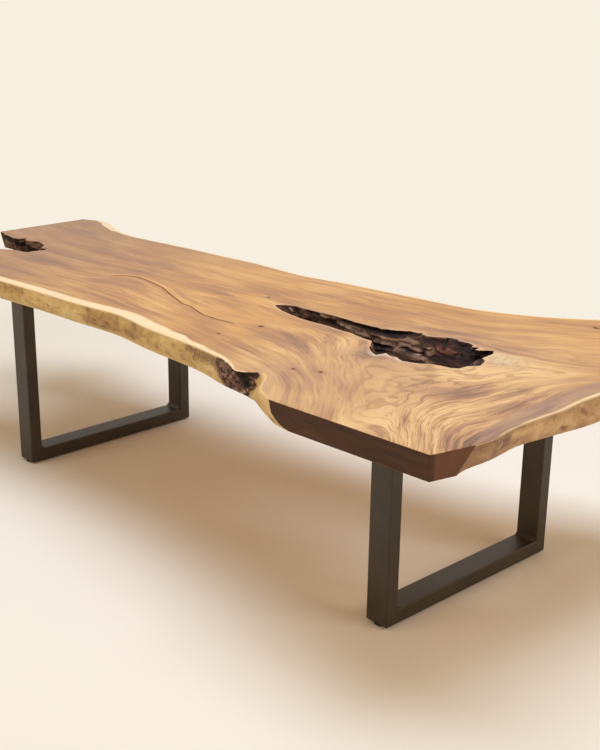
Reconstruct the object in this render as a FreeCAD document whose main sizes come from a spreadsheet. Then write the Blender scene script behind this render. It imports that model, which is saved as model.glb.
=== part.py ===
import FreeCAD, Part
import math
import os

import Sketcher

# Live edge dining table: one natural slab on two welded U frames of rectangular
# steel tube, held up by coach screws and standing on screw levellers.
#
# Row frame, millimetres: +X along the slab towards its broad natural end, +Y to
# the back, +Z up.  The origin is on the floor, under the middle of the slab.

Vector = FreeCAD.Vector
Placement = FreeCAD.Placement
Rotation = FreeCAD.Rotation
AXIS_Z = Vector(0, 0, 1)

# Driving dimensions: spreadsheet alias, value in mm, what it is.
SIZES = (
    ("slab_length", 3080, "tabletop, sawn end to the furthest point of the natural end"),
    ("slab_width", 1475, "tabletop, sawn front face to the furthest point of the flare"),
    ("slab_thickness", 76, "tabletop thickness"),
    ("table_height", 760, "floor to the top of the slab"),
    ("foot_gap", 6, "floor to the underside of the foot rails, levellers screwed home"),
    ("frame_width", 800, "U frame, outside of the front post to outside of the rear post"),
    ("tube_deep", 87, "tube size along the table"),
    ("tube_side", 50, "tube size across the table and height of the foot rail"),
    ("tube_wall", 3, "tube wall"),
    ("tube_corner", 5, "outer corner radius of the tube"),
    ("corner_round", 8, "radius that the outer corner of each mitre is ground to"),
    ("weld_size", 14, "leg of the weld fillet inside each corner of a U frame"),
    ("right_frame_inset", 440, "natural end of the slab to the middle of the right frame"),
    ("left_frame_inset", 806, "sawn end of the slab to the middle of the left frame"),
    ("right_frame_offset", -52.5, "middle of the right frame from the middle of the slab"),
    ("left_frame_offset", -182.5, "middle of the left frame from the middle of the slab"),
    ("plate_thickness", 6, "mounting plate, let in flush with the underside of the slab"),
    ("housing_clearance", 0.5, "gap round a mounting plate in its housing"),
    ("slot_width", 9, "plate slot, across"),
    ("slot_length", 20, "plate slot, end to end, so that the slab can move"),
    ("screw_margin", 50, "inner face of a post to the row of screws"),
    ("screw_gauge", 48, "screw to screw along the table"),
    ("screw_diameter", 7.9, "coach screw shank"),
    ("screw_length", 45, "coach screw under the head"),
    ("head_across_flats", 13, "coach screw head"),
    ("head_height", 5.3, "coach screw head"),
    ("washer_side", 24, "square washer, outside"),
    ("washer_bore", 8.4, "square washer, hole"),
    ("washer_thickness", 2, "square washer"),
    ("pilot_fit", 0.05, "radial gap of a screw in its pilot hole"),
    ("pilot_spare", 3, "how much deeper a pilot hole is than its screw"),
    ("foot_width", 46, "leveller foot, across its corners"),
    ("foot_clearance", 0.3, "top of a leveller foot to the underside of the rail"),
    ("foot_floor", 1.8, "floor of a leveller foot, which the stud stands on"),
    ("key_hole", 7, "hole under a leveller foot for the hexagon key, across flats"),
    ("stud_diameter", 10, "leveller stud"),
    ("stud_length", 32, "leveller stud"),
    ("socket_across_flats", 5, "hexagon socket in the foot end of the stud"),
    ("socket_depth", 4, "hexagon socket in the foot end of the stud"),
    ("running_clearance", 0.08, "radial gap of the stud in its foot and in its nut"),
    ("stud_hole", 12, "hole in the foot rail that a stud passes through"),
    ("nut_across_flats", 17, "weld nut that takes the stud"),
    ("nut_height", 8, "weld nut that takes the stud"),
)

# The natural outline as drawn on the blank, anticlockwise from the sawn end: x and y of
# the top rim, then how far the edge stands out beyond that rim at half depth and at the
# underside (negative where it is undercut).
NATURAL_EDGE = (
    # front, left to right
    (-1605, -650, 6, -4),
    (-1200, -652, 7, -6),
    (-760, -634, 7, -6),
    (-500, -608, 7, -8),
    (-285, -590, 7, -5),
    (-60, -562, 10, 6),
    (95, -578, 10, 4),
    (290, -583, 10, 5),
    (470, -592, 12, 10),
    (600, -618, 10, 8),
    (682, -640, 4, -10),
    # the knot bites into the top rim only
    (724, -600, 16, 40),
    (790, -650, 14, 18),
    (838, -704, 2, -14),
    (925, -740, -4, -16),
    # waste beyond the two saw cuts
    (1060, -792, -22, -60),
    (1290, -830, -22, -60),
    (1490, -790, -16, -45),
    (1565, -690, -12, -34),
    # natural end, front to back
    (1531, -575, -10, -24),
    (1533, -500, -8, -25),
    (1524, -425, -6, -20),
    (1517, -340, -6, -22),
    (1519, -250, -4, -15),
    (1522, -165, 4, -6),
    (1514, -70, 12, 16),
    (1516, 20, 12, 18),
    (1522, 150, 12, 12),
    (1533, 290, 7, -2),
    (1534, 420, 6, -8),
    (1505, 545, 7, -8),
    (1430, 655, 8, -8),
    (1320, 720, 8, -10),
    (1205, 738, 0, -12),
    # back, right to left
    (1063, 684, 8, -8),
    (957, 598, 10, -6),
    (830, 518, 10, 0),
    (690, 456, 10, 4),
    (510, 424, 8, -4),
    (270, 384, 8, -6),
    (90, 352, 10, 0),
    (-60, 318, 10, 4),
    (-280, 313, 8, -4),
    (-500, 289, 7, -6),
    (-780, 262, 7, -6),
    (-960, 234, 8, -4),
    (-1120, 224, 8, 0),
    (-1240, 240, 10, 6),
    (-1350, 284, 8, 0),
    (-1440, 300, 6, -6),
    (-1525, 265, 6, -6),
    (-1605, 215, 6, -6),
)

# Saw cuts, each a line that leaves the slab on its left.
END_SAW = ((-1540, 400), (-1540, -800))
FRONT_SAW = ((925, -737.5), (1496, -700.5))
CORNER_SAW = ((1496, -700.5), (1525, -577.5))
SAW_CUTS = (("end_saw", END_SAW), ("front_saw", FRONT_SAW), ("corner_saw", CORNER_SAW))

# Natural void through the slab: x and y of the broken rim on top, x and y at the underside.
NATURAL_VOID = (
    # far side of the narrow part, left to right
    (184, -56, 228, -62),
    (206, -28, 236, -46),
    (240, -12, 262, -36),
    (283, -9, 296, -30),
    (335, -4, 340, -24),
    (383, 4, 384, -18),
    (433, 10, 430, -16),
    (490, 9, 490, -16),
    (536, 9, 536, -16),
    (578, 14, 580, -18),
    (649, 18, 640, -30),
    # far side of the broad part, which slopes in under its rim
    (691, 44, 676, -44),
    (719, 62, 706, -46),
    (724, 76, 722, -42),
    (742, 74, 738, -38),
    (762, 90, 758, -34),
    (792, 75, 780, -32),
    (818, 83, 802, -26),
    (838, 103, 822, -14),
    (863, 122, 842, -4),
    (886, 125, 862, 8),
    (907, 114, 882, 14),
    (941, 120, 906, 26),
    (968, 112, 922, 32),
    (975, 94, 930, 28),
    (999, 104, 942, 36),
    (1002, 76, 948, 25),
    (1030, 92, 957, 31),
    (1050, 114, 964, 35),
    (1068, 92, 968, 22),
    # right end
    (1074, 30, 970, 6),
    (1098, 10, 972, -8),
    (1119, -36, 966, -22),
    (1098, -70, 956, -32),
    (1094, -112, 946, -42),
    (1073, -126, 930, -48),
    # near side, torn
    (1040, -132, 914, -54),
    (1002, -147, 896, -58),
    (981, -168, 882, -66),
    (953, -181, 866, -70),
    (928, -190, 852, -74),
    (894, -172, 836, -74),
    (872, -182, 822, -78),
    (840, -168, 808, -78),
    (834, -210, 794, -84),
    (806, -199, 776, -84),
    (763, -162, 748, -78),
    (717, -108, 712, -68),
    (684, -110, 684, -66),
    (610, -97, 606, -58),
    (571, -102, 566, -58),
    (521, -99, 516, -56),
    (475, -100, 470, -56),
    (419, -106, 414, -58),
    (377, -106, 372, -60),
    (321, -101, 322, -62),
    (262, -91, 276, -66),
    (208, -71, 238, -70),
)

# Natural split in the sawn end, open to the left: rim on top, then underside.
END_SPLIT = (
    (-1620, -446, -1620, -432),
    (-1450, -430, -1450, -420),
    (-1300, -392, -1302, -383),
    (-1232, -364, -1238, -356),
    (-1184, -325, -1196, -320),
    (-1129, -314, -1152, -306),
    (-1104, -306, -1136, -294),
    (-1108, -276, -1136, -270),
    (-1098, -240, -1130, -244),
    (-1097, -217, -1128, -226),
    (-1118, -210, -1142, -214),
    (-1139, -221, -1156, -220),
    (-1171, -189, -1180, -198),
    (-1205, -172, -1212, -180),
    (-1252, -162, -1256, -170),
    (-1308, -190, -1310, -184),
    (-1350, -167, -1350, -172),
    (-1356, -199, -1360, -184),
    (-1388, -212, -1394, -186),
    (-1431, -203, -1436, -172),
    (-1478, -198, -1480, -162),
    (-1534, -187, -1534, -168),
    (-1620, -184, -1620, -164),
)

HALF_DEPTH = 0.5        # height of the middle section, as a share of the thickness
CUT_OVERRUN = 5         # how far a cutting tool runs past what it cuts
SAW_REACH = 300         # how far a saw cut runs past its two points, and into the waste
FOOT_FLATS = 12         # flats round a leveller foot
SIDES = (("right", 1), ("left", -1))
ENDS = (("front", -1), ("rear", 1))


# ---------------------------------------------------------------- document helpers

def new_sheet(doc):
    """Spreadsheet that holds every driving dimension under its alias."""
    sheet = doc.addObject("Spreadsheet::Sheet", "sizes")
    for row, (alias, value, meaning) in enumerate(SIZES, 1):
        sheet.set(f"A{row}", meaning)
        sheet.set(f"B{row}", str(value))
        sheet.setAlias(f"B{row}", alias)
    doc.recompute()
    return sheet


def value_of(holder, expression):
    """Number that an expression gives in the document of holder."""
    return float(holder.evalExpression(expression))


def bind(target, **expressions):
    """Set properties of target by expression."""
    for name, expression in expressions.items():
        target.setExpression(name, expression)


def placed(target, x="0", y="0", z="0", turn="0"):
    """Bind the position of target, and its turn in degrees about Z."""
    for name, expression in (("x", x), ("y", y), ("z", z)):
        target.setExpression(f".Placement.Base.{name}", expression)
    target.Placement = Placement(target.Placement.Base, Rotation(AXIS_Z, value_of(target, turn)))


def origin_plane(body, role):
    """Origin plane of a body, by its role."""
    return next(plane for plane in body.Origin.OriginFeatures if plane.Role == role)


def new_body(doc, label):
    """Empty PartDesign body."""
    body = doc.addObject("PartDesign::Body", label)
    body.Label = label
    return body


def new_sketch(body, name, role):
    """Sketch on one of the body's own origin planes."""
    sketch = body.newObject("Sketcher::SketchObject", name)
    sketch.AttachmentSupport = [(origin_plane(body, role), "")]
    sketch.MapMode = "FlatFace"
    return sketch


def constrain(sketch, kind, *where, expression):
    """Add a dimension to a sketch and bind it to an expression."""
    amount = value_of(sketch, expression)
    index = sketch.addConstraint(Sketcher.Constraint(kind, *where, amount))
    sketch.setExpression(f"Constraints[{index}]", expression)


def pin_point(sketch, geometry, position, x, y):
    """Fix a point of a sketch at x, y from the sketch's origin."""
    constrain(sketch, "DistanceX", -1, 1, geometry, position, expression=x)
    constrain(sketch, "DistanceY", -1, 1, geometry, position, expression=y)


def draw_polygon(sketch, corners):
    """Closed polygon whose corners are pairs of expressions."""
    first = sketch.GeometryCount
    points = [Vector(value_of(sketch, x), value_of(sketch, y), 0) for x, y in corners]
    count = len(points)
    for index, point in enumerate(points):
        sketch.addGeometry(Part.LineSegment(point, points[(index + 1) % count]), False)
    for index, (x, y) in enumerate(corners):
        following = first + (index + 1) % count
        sketch.addConstraint(Sketcher.Constraint("Coincident", first + index, 2, following, 1))
        pin_point(sketch, first + index, 1, x, y)


def draw_circle(sketch, x, y, radius):
    """Circle with its centre and radius given by expressions."""
    centre = Vector(value_of(sketch, x), value_of(sketch, y), 0)
    circle = sketch.addGeometry(Part.Circle(centre, AXIS_Z, value_of(sketch, radius)), False)
    pin_point(sketch, circle, 3, x, y)
    constrain(sketch, "Radius", circle, expression=radius)


def draw_rounded_box(sketch, x, y, width, height, radius):
    """Rectangle with round corners about x, y, all given by expressions."""
    first = sketch.GeometryCount
    middle_x, middle_y = value_of(sketch, x), value_of(sketch, y)
    size_r = value_of(sketch, radius)
    half_w = value_of(sketch, width) / 2
    half_h = value_of(sketch, height) / 2
    flat_w, flat_h = half_w - size_r, half_h - size_r
    sides = (
        ((-flat_w, -half_h), (flat_w, -half_h)),
        ((half_w, -flat_h), (half_w, flat_h)),
        ((flat_w, half_h), (-flat_w, half_h)),
        ((-half_w, flat_h), (-half_w, -flat_h)),
    )
    centres = ((flat_w, -flat_h), (flat_w, flat_h), (-flat_w, flat_h), (-flat_w, -flat_h))
    for start, end in sides:
        line = [Vector(middle_x + px, middle_y + py, 0) for px, py in (start, end)]
        sketch.addGeometry(Part.LineSegment(*line), False)
    for index, (px, py) in enumerate(centres):
        circle = Part.Circle(Vector(middle_x + px, middle_y + py, 0), AXIS_Z, size_r)
        start = math.radians(90 * index - 90)
        sketch.addGeometry(Part.ArcOfCircle(circle, start, start + math.pi / 2), False)
    bottom, right, top, left = range(first, first + 4)
    for index in range(4):
        arc = first + 4 + index
        sketch.addConstraint(Sketcher.Constraint("Tangent", first + index, 2, arc, 1))
        sketch.addConstraint(Sketcher.Constraint("Tangent", arc, 2, first + (index + 1) % 4, 1))
        if index:
            sketch.addConstraint(Sketcher.Constraint("Equal", first + 4, arc))
    for kind, line in (("Horizontal", bottom), ("Vertical", right),
                       ("Horizontal", top), ("Vertical", left)):
        sketch.addConstraint(Sketcher.Constraint(kind, line))
    constrain(sketch, "Radius", first + 4, expression=radius)
    constrain(sketch, "DistanceX", left, 1, right, 1, expression=width)
    constrain(sketch, "DistanceY", bottom, 1, top, 1, expression=height)
    pin_point(sketch, first + 7, 3, f"{x} - ({width})/2 + {radius}",
              f"{y} - ({height})/2 + {radius}")


def draw_slot(sketch, x, y, length, width):
    """Slot that runs along the sketch's Y, about x, y."""
    first = sketch.GeometryCount
    middle_x, middle_y = value_of(sketch, x), value_of(sketch, y)
    size_r = value_of(sketch, width) / 2
    reach = value_of(sketch, length) / 2 - size_r
    upper = Part.Circle(Vector(middle_x, middle_y + reach, 0), AXIS_Z, size_r)
    lower = Part.Circle(Vector(middle_x, middle_y - reach, 0), AXIS_Z, size_r)
    sketch.addGeometry(Part.ArcOfCircle(upper, 0, math.pi), False)
    sketch.addGeometry(Part.LineSegment(Vector(middle_x - size_r, middle_y + reach, 0),
                                        Vector(middle_x - size_r, middle_y - reach, 0)), False)
    sketch.addGeometry(Part.ArcOfCircle(lower, math.pi, 2 * math.pi), False)
    sketch.addGeometry(Part.LineSegment(Vector(middle_x + size_r, middle_y - reach, 0),
                                        Vector(middle_x + size_r, middle_y + reach, 0)), False)
    for index in range(4):
        following = first + (index + 1) % 4
        sketch.addConstraint(Sketcher.Constraint("Tangent", first + index, 2, following, 1))
    sketch.addConstraint(Sketcher.Constraint("Equal", first, first + 2))
    constrain(sketch, "Radius", first, expression=f"({width})/2")
    pin_point(sketch, first, 3, x, f"{y} + ({length} - {width})/2")
    pin_point(sketch, first + 2, 3, x, f"{y} - ({length} - {width})/2")


def pad(body, sketch, length, symmetric=False, backwards=False):
    """Pad a sketch by an expression."""
    feature = body.newObject("PartDesign::Pad", "pad")
    feature.Profile = sketch
    feature.SideType = "Symmetric" if symmetric else "One side"
    feature.Reversed = backwards
    feature.setExpression("Length", length)
    body.Document.recompute()
    return feature


def pocket(body, sketch, length, symmetric=False, backwards=False):
    """Pocket a sketch by an expression, and make sure that it cuts."""
    before = body.Shape.Volume
    feature = body.newObject("PartDesign::Pocket", "pocket")
    feature.Profile = sketch
    feature.SideType = "Symmetric" if symmetric else "One side"
    feature.Reversed = backwards
    feature.setExpression("Length", length)
    body.Document.recompute()
    if body.Shape.Volume >= before:
        raise RuntimeError(f"{sketch.Name} of {body.Label} cuts nothing")
    return feature


def compound(doc, label, members):
    """One node made of separate solids."""
    group = doc.addObject("Part::Compound", label)
    group.Label = label
    group.Links = members
    return group


def cut(doc, label, base, tools):
    """Base with every tool taken out of it."""
    tool = tools[0] if len(tools) == 1 else compound(doc, f"{label}_tools", tools)
    result = doc.addObject("Part::Cut", label)
    result.Label = label
    result.Base = base
    result.Tool = tool
    doc.recompute()
    return result


# ---------------------------------------------------------------- where things stand

UNDERSIDE = "(sizes.table_height - sizes.slab_thickness)"
POST_HEIGHT = f"({UNDERSIDE} - sizes.foot_gap)"
SCREW_ROW = "(sizes.frame_width/2 - sizes.tube_side - sizes.screw_margin)"
LEVELLER_Y = "(sizes.frame_width/2 - sizes.tube_side/2)"


def frame_x(side, sign):
    """Middle of a U frame along the table."""
    return f"({sign}*(sizes.slab_length/2 - sizes.{side}_frame_inset))"


def frame_y(side):
    """Middle of a U frame across the table."""
    return f"(sizes.{side}_frame_offset)"


def screw_places(x="0", y="0"):
    """Pairs of expressions for the screws of a U frame whose middle is at x, y."""
    return [
        (f"{x} + ({along})*sizes.screw_gauge/2", f"{y} + ({across})*{SCREW_ROW}")
        for along in (-1, 1)
        for across in (-1, 1)
    ]


# ---------------------------------------------------------------- the slab

class Fit:
    """Brings drawn points to the slab's real length and width, about its middle."""

    def __init__(self, scale_x=1.0, scale_y=1.0, middle_x=0.0, middle_y=0.0):
        self.scale_x = scale_x
        self.scale_y = scale_y
        self.middle_x = middle_x
        self.middle_y = middle_y

    def point(self, x, y, z=0.0):
        """Drawn x, y as a point of the model at height z."""
        return Vector((x - self.middle_x) * self.scale_x, (y - self.middle_y) * self.scale_y, z)


def edge_section(fit, level, z):
    """Smooth closed wire of the natural edge: level 0 is the rim, 1 and 2 are below it."""
    rim = [fit.point(row[0], row[1]) for row in NATURAL_EDGE]
    points = []
    for index, row in enumerate(NATURAL_EDGE):
        along = rim[(index + 1) % len(rim)] - rim[index - 1]
        outward = Vector(along.y, -along.x, 0).normalize()
        stands_out = row[level + 1] if level else 0
        points.append(rim[index] + outward * stands_out + Vector(0, 0, z))
    return closed_curve(points, rim)


def opening_section(fit, rows, share, z):
    """Broken closed outline of an opening, at a share of the way from rim to underside."""
    points = [
        fit.point(x + share * (below_x - x), y + share * (below_y - y), z)
        for x, y, below_x, below_y in rows
    ]
    return Part.makePolygon(points + points[:1])


def closed_curve(points, spaced_as):
    """Periodic spline through points, with its parameters spaced as other points are."""
    spacing = [0.0]
    for index, point in enumerate(spaced_as):
        following = spaced_as[(index + 1) % len(spaced_as)]
        spacing.append(spacing[-1] + point.distanceToPoint(following))
    curve = Part.BSplineCurve()
    curve.interpolate(Points=points, Parameters=spacing, PeriodicFlag=True)
    return Part.Wire([curve.toShape()])


def saw_shape(fit, line, underside, thickness):
    """Length, depth and placement of the box of waste beyond one saw cut."""
    start, end = (fit.point(*point, underside - CUT_OVERRUN) for point in line)
    along = (end - start).normalize()
    heading = math.degrees(math.atan2(along.y, along.x))
    to_waste = Vector(along.y, -along.x, 0)
    corner = start - along * SAW_REACH + to_waste * SAW_REACH
    length = start.distanceToPoint(end) + 2 * SAW_REACH
    return length, thickness + 2 * CUT_OVERRUN, Placement(corner, Rotation(AXIS_Z, heading))


def fit_to_sheet(sheet):
    """Fit under which the sawn blank has the sheet's length and width."""
    drawn = Fit()
    depth = value_of(sheet, "sizes.slab_thickness")
    heights = (depth, depth * HALF_DEPTH, 0)
    sections = [edge_section(drawn, level, z) for level, z in enumerate(heights)]
    trial = Part.makeLoft(sections[::-1], True, True)
    for _, line in SAW_CUTS:
        length, height, place = saw_shape(drawn, line, 0, depth)
        trial = trial.cut(Part.makeBox(length, SAW_REACH, height).transformGeometry(place.Matrix))
    box = trial.optimalBoundingBox(False, False)
    return Fit(value_of(sheet, "sizes.slab_length") / box.XLength,
               value_of(sheet, "sizes.slab_width") / box.YLength,
               box.Center.x, box.Center.y)


def section_feature(doc, label, wire):
    """Wire as an object of the document."""
    section = doc.addObject("Part::Feature", label)
    section.Shape = wire
    return section


def loft(doc, label, sections):
    """Solid ruled from each section to the next, from the lowest up."""
    result = doc.addObject("Part::Loft", label)
    result.Sections = sections
    result.Solid = True
    result.Ruled = True
    doc.recompute()
    return result


def natural_blank(doc, sheet, fit):
    """The plank as it came off the log, with its natural edge all round."""
    underside = value_of(sheet, UNDERSIDE)
    depth = value_of(sheet, "sizes.slab_thickness")
    heights = (("rim", depth), ("half_depth", depth * HALF_DEPTH), ("underside", 0))
    sections = [
        section_feature(doc, f"natural_edge_{name}", edge_section(fit, level, underside + rise))
        for level, (name, rise) in enumerate(heights)
    ]
    return loft(doc, "natural_blank", sections[::-1])


def opening_tool(doc, sheet, fit, label, rows):
    """Solid that fills a natural opening and runs past both faces of the slab."""
    underside = value_of(sheet, UNDERSIDE)
    depth = value_of(sheet, "sizes.slab_thickness")
    over = CUT_OVERRUN / depth
    levels = (("below", 1 + over, -CUT_OVERRUN), ("above", -over, depth + CUT_OVERRUN))
    sections = [
        section_feature(doc, f"{label}_{name}",
                        opening_section(fit, rows, share, underside + rise))
        for name, share, rise in levels
    ]
    return loft(doc, label, sections)


def saw_tool(doc, sheet, fit, label, line):
    """Box of waste beyond one saw cut."""
    tool = doc.addObject("Part::Box", label)
    underside = value_of(sheet, UNDERSIDE)
    depth = value_of(sheet, "sizes.slab_thickness")
    tool.Length, _, tool.Placement = saw_shape(fit, line, underside, depth)
    tool.Width = SAW_REACH
    bind(tool, Height=f"sizes.slab_thickness + 2*{CUT_OVERRUN}")
    return tool


def plate_housing(doc, side, sign):
    """Recess that lets one mounting plate in flush with the underside."""
    box = doc.addObject("Part::Box", f"{side}_plate_housing")
    length = "(sizes.tube_deep + 2*sizes.housing_clearance)"
    width = "(sizes.frame_width + 2*sizes.housing_clearance)"
    bind(box, Length=length, Width=width, Height=f"sizes.plate_thickness + {CUT_OVERRUN}")
    placed(box, f"{frame_x(side, sign)} - {length}/2", f"{frame_y(side)} - {width}/2",
           f"{UNDERSIDE} - {CUT_OVERRUN}")
    return box


def pilot_holes(doc, side, sign):
    """Blind holes that take the coach screws of one U frame."""
    holes = []
    for number, (x, y) in enumerate(screw_places(frame_x(side, sign), frame_y(side)), 1):
        hole = doc.addObject("Part::Cylinder", f"{side}_pilot_hole_{number}")
        bind(hole, Radius="sizes.screw_diameter/2 + sizes.pilot_fit",
             Height="sizes.screw_length + sizes.pilot_spare")
        placed(hole, x, y, UNDERSIDE)
        holes.append(hole)
    return holes


def make_tabletop(doc, sheet):
    """The slab: natural blank, saw cuts, void, split, plate housings and pilot holes."""
    fit = fit_to_sheet(sheet)
    saws = [saw_tool(doc, sheet, fit, label, line) for label, line in SAW_CUTS]
    openings = [
        opening_tool(doc, sheet, fit, "natural_void", NATURAL_VOID),
        opening_tool(doc, sheet, fit, "end_split", END_SPLIT),
    ]
    slab = natural_blank(doc, sheet, fit)
    for tool in saws + openings:
        slab = cut(doc, f"slab_after_{tool.Name}", slab, [tool])
    slab = cut(doc, "slab_let_in", slab, [plate_housing(doc, *side) for side in SIDES])
    holes = [hole for side in SIDES for hole in pilot_holes(doc, *side)]
    return cut(doc, "tabletop_slab", slab, holes)


# ---------------------------------------------------------------- the U frames

MITRE_POINT = "(sizes.corner_round*(1 - sqrt(2)/2))"


def draw_tube_section(sketch):
    """Tube section that stands on the sketch's X axis, about its Y axis."""
    draw_rounded_box(sketch, "0", "sizes.tube_side/2", "sizes.tube_deep", "sizes.tube_side",
                     "sizes.tube_corner")
    reach = "(sizes.tube_deep/2 - sizes.tube_wall)"
    top = "(sizes.tube_side - sizes.tube_wall)"
    draw_polygon(sketch, [(f"-{reach}", "sizes.tube_wall"), (reach, "sizes.tube_wall"),
                          (reach, top), (f"-{reach}", top)])


def draw_mitre(sketch, outer, inward, of_post):
    """Waste of a mitre whose outer corner is rounded, seen along the table.

    The corner of the frame is at height 0 and at outer across the table; inward is +1 or
    -1, the way to the middle of the frame.  The post keeps what is above the diagonal and
    the rail keeps what is below it.
    """
    first = sketch.GeometryCount
    far = f"(sizes.tube_side + {CUT_OVERRUN})"
    over = f"(-{CUT_OVERRUN})"

    def place(along_rail, up_post):
        """Pair of sketch expressions for a point given for a rail."""
        across, up = (up_post, along_rail) if of_post else (along_rail, up_post)
        return f"{outer} + ({inward})*({across})", up

    corners = [place(*pair) for pair in (
        ("sizes.corner_round", "0"), ("sizes.corner_round", over), (over, over),
        (over, far), (far, far), (MITRE_POINT, MITRE_POINT),
    )]
    points = [Vector(value_of(sketch, x), value_of(sketch, y), 0) for x, y in corners]
    for start, end in zip(points, points[1:]):
        sketch.addGeometry(Part.LineSegment(start, end), False)
    centre = place("sizes.corner_round", "sizes.corner_round")
    hub = Vector(value_of(sketch, centre[0]), value_of(sketch, centre[1]), 0)
    bearing = [math.atan2(point.y - hub.y, point.x - hub.x) for point in (points[5], points[0])]
    turns_left = math.sin(bearing[1] - bearing[0]) > 0
    start, end = bearing if turns_left else bearing[::-1]
    radius = value_of(sketch, "sizes.corner_round")
    arc = sketch.addGeometry(Part.ArcOfCircle(Part.Circle(hub, AXIS_Z, radius), start, end), False)
    on_mitre, on_face = (1, 2) if turns_left else (2, 1)
    for index in range(5):
        pin_point(sketch, first + index, 1, *corners[index])
        if index < 4:
            sketch.addConstraint(
                Sketcher.Constraint("Coincident", first + index, 2, first + index + 1, 1))
    sketch.addConstraint(Sketcher.Constraint("Coincident", first + 4, 2, arc, on_mitre))
    sketch.addConstraint(Sketcher.Constraint("Coincident", arc, on_face, first, 1))
    pin_point(sketch, arc, 3, *centre)
    constrain(sketch, "DistanceX", -1, 1, arc, on_mitre, expression=corners[5][0])


def make_post(doc, side, sign, end, toward):
    """Upright of a U frame, mitred at its foot.  Its own Y runs inward from its outer face."""
    body = new_body(doc, f"{side}_leg_{end}_post")
    section = new_sketch(body, f"{body.Name}_section", "XY_Plane")
    draw_tube_section(section)
    pad(body, section, POST_HEIGHT)
    mitre = new_sketch(body, f"{body.Name}_mitre", "YZ_Plane")
    draw_mitre(mitre, "0", 1, of_post=True)
    pocket(body, mitre, f"sizes.tube_deep + {CUT_OVERRUN}", symmetric=True)
    placed(body, frame_x(side, sign), f"{frame_y(side)} + ({toward})*sizes.frame_width/2",
           "sizes.foot_gap", turn="0" if toward < 0 else "180")
    return body


def make_rail(doc, side, sign):
    """Foot rail of a U frame, mitred at both ends and drilled for the leveller studs."""
    body = new_body(doc, f"{side}_leg_foot_rail")
    section = new_sketch(body, f"{body.Name}_section", "XZ_Plane")
    draw_tube_section(section)
    pad(body, section, "sizes.frame_width", symmetric=True)
    mitres = new_sketch(body, f"{body.Name}_mitres", "YZ_Plane")
    for _, toward in ENDS:
        draw_mitre(mitres, f"({toward})*sizes.frame_width/2", -toward, of_post=False)
    pocket(body, mitres, f"sizes.tube_deep + {CUT_OVERRUN}", symmetric=True)
    holes = new_sketch(body, f"{body.Name}_stud_holes", "XY_Plane")
    for _, toward in ENDS:
        draw_circle(holes, "0", f"({toward})*{LEVELLER_Y}", "sizes.stud_hole/2")
    pocket(body, holes, "sizes.tube_side/2", backwards=True)
    placed(body, frame_x(side, sign), frame_y(side), "sizes.foot_gap")
    return body


def make_plate(doc, side, sign):
    """Mounting plate welded across the tops of the posts, with slots for the screws."""
    body = new_body(doc, f"{side}_leg_mounting_plate")
    outline = new_sketch(body, f"{body.Name}_outline", "XY_Plane")
    draw_rounded_box(outline, "0", "0", "sizes.tube_deep", "sizes.frame_width",
                     "sizes.tube_corner")
    pad(body, outline, "sizes.plate_thickness")
    slots = new_sketch(body, f"{body.Name}_slots", "XY_Plane")
    for x, y in screw_places():
        draw_slot(slots, x, y, "sizes.slot_length", "sizes.slot_width")
    pocket(body, slots, "sizes.plate_thickness", backwards=True)
    placed(body, frame_x(side, sign), frame_y(side), UNDERSIDE)
    return body


def make_welds(doc, side, sign):
    """Weld fillets inside the four corners of a U frame and its plate."""
    body = new_body(doc, f"{side}_leg_weld_fillets")
    profile = new_sketch(body, f"{body.Name}_profile", "YZ_Plane")
    for _, toward in ENDS:
        face = f"({toward})*(sizes.frame_width/2 - sizes.tube_side)"
        leg = f"{face} - ({toward})*sizes.weld_size"
        for corner, rise in (("sizes.tube_side", "+"), (POST_HEIGHT, "-")):
            draw_polygon(profile, [(face, corner), (leg, corner),
                                   (face, f"{corner} {rise} sizes.weld_size")])
    pad(body, profile, "sizes.tube_deep - 2*sizes.tube_corner", symmetric=True)
    placed(body, frame_x(side, sign), frame_y(side), "sizes.foot_gap")
    return body


# ---------------------------------------------------------------- fasteners

def hexagon(x, y, across_flats):
    """Corners of a hexagon as pairs of expressions."""
    reach = f"({across_flats})/sqrt(3)"
    return [
        (f"{x} + {reach}*({math.cos(math.radians(60 * turn)):.1f})",
         f"{y} + ({across_flats})/2*({(turn in (1, 2)) - (turn in (4, 5))})")
        for turn in range(6)
    ]


def make_screws(doc, side, sign):
    """Coach screws, up through the washers and the plate into the slab."""
    body = new_body(doc, f"{side}_plate_screws")
    heads = new_sketch(body, f"{body.Name}_heads", "XY_Plane")
    shanks = new_sketch(body, f"{body.Name}_shanks", "XY_Plane")
    for x, y in screw_places():
        draw_polygon(heads, hexagon(x, y, "sizes.head_across_flats"))
        draw_circle(shanks, x, y, "sizes.screw_diameter/2")
    pad(body, heads, "sizes.head_height", backwards=True)
    pad(body, shanks, "sizes.screw_length")
    placed(body, frame_x(side, sign), frame_y(side), f"{UNDERSIDE} - sizes.washer_thickness")
    return body


def make_washers(doc, side, sign):
    """Square washers between the screw heads and the plate."""
    body = new_body(doc, f"{side}_plate_washers")
    profile = new_sketch(body, f"{body.Name}_profile", "XY_Plane")
    reach = "sizes.washer_side/2"
    for x, y in screw_places():
        draw_polygon(profile, [(f"{x} - {reach}", f"{y} - {reach}"),
                               (f"{x} + {reach}", f"{y} - {reach}"),
                               (f"{x} + {reach}", f"{y} + {reach}"),
                               (f"{x} - {reach}", f"{y} + {reach}")])
        draw_circle(profile, x, y, "sizes.washer_bore/2")
    pad(body, profile, "sizes.washer_thickness", backwards=True)
    placed(body, frame_x(side, sign), frame_y(side), UNDERSIDE)
    return body


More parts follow.
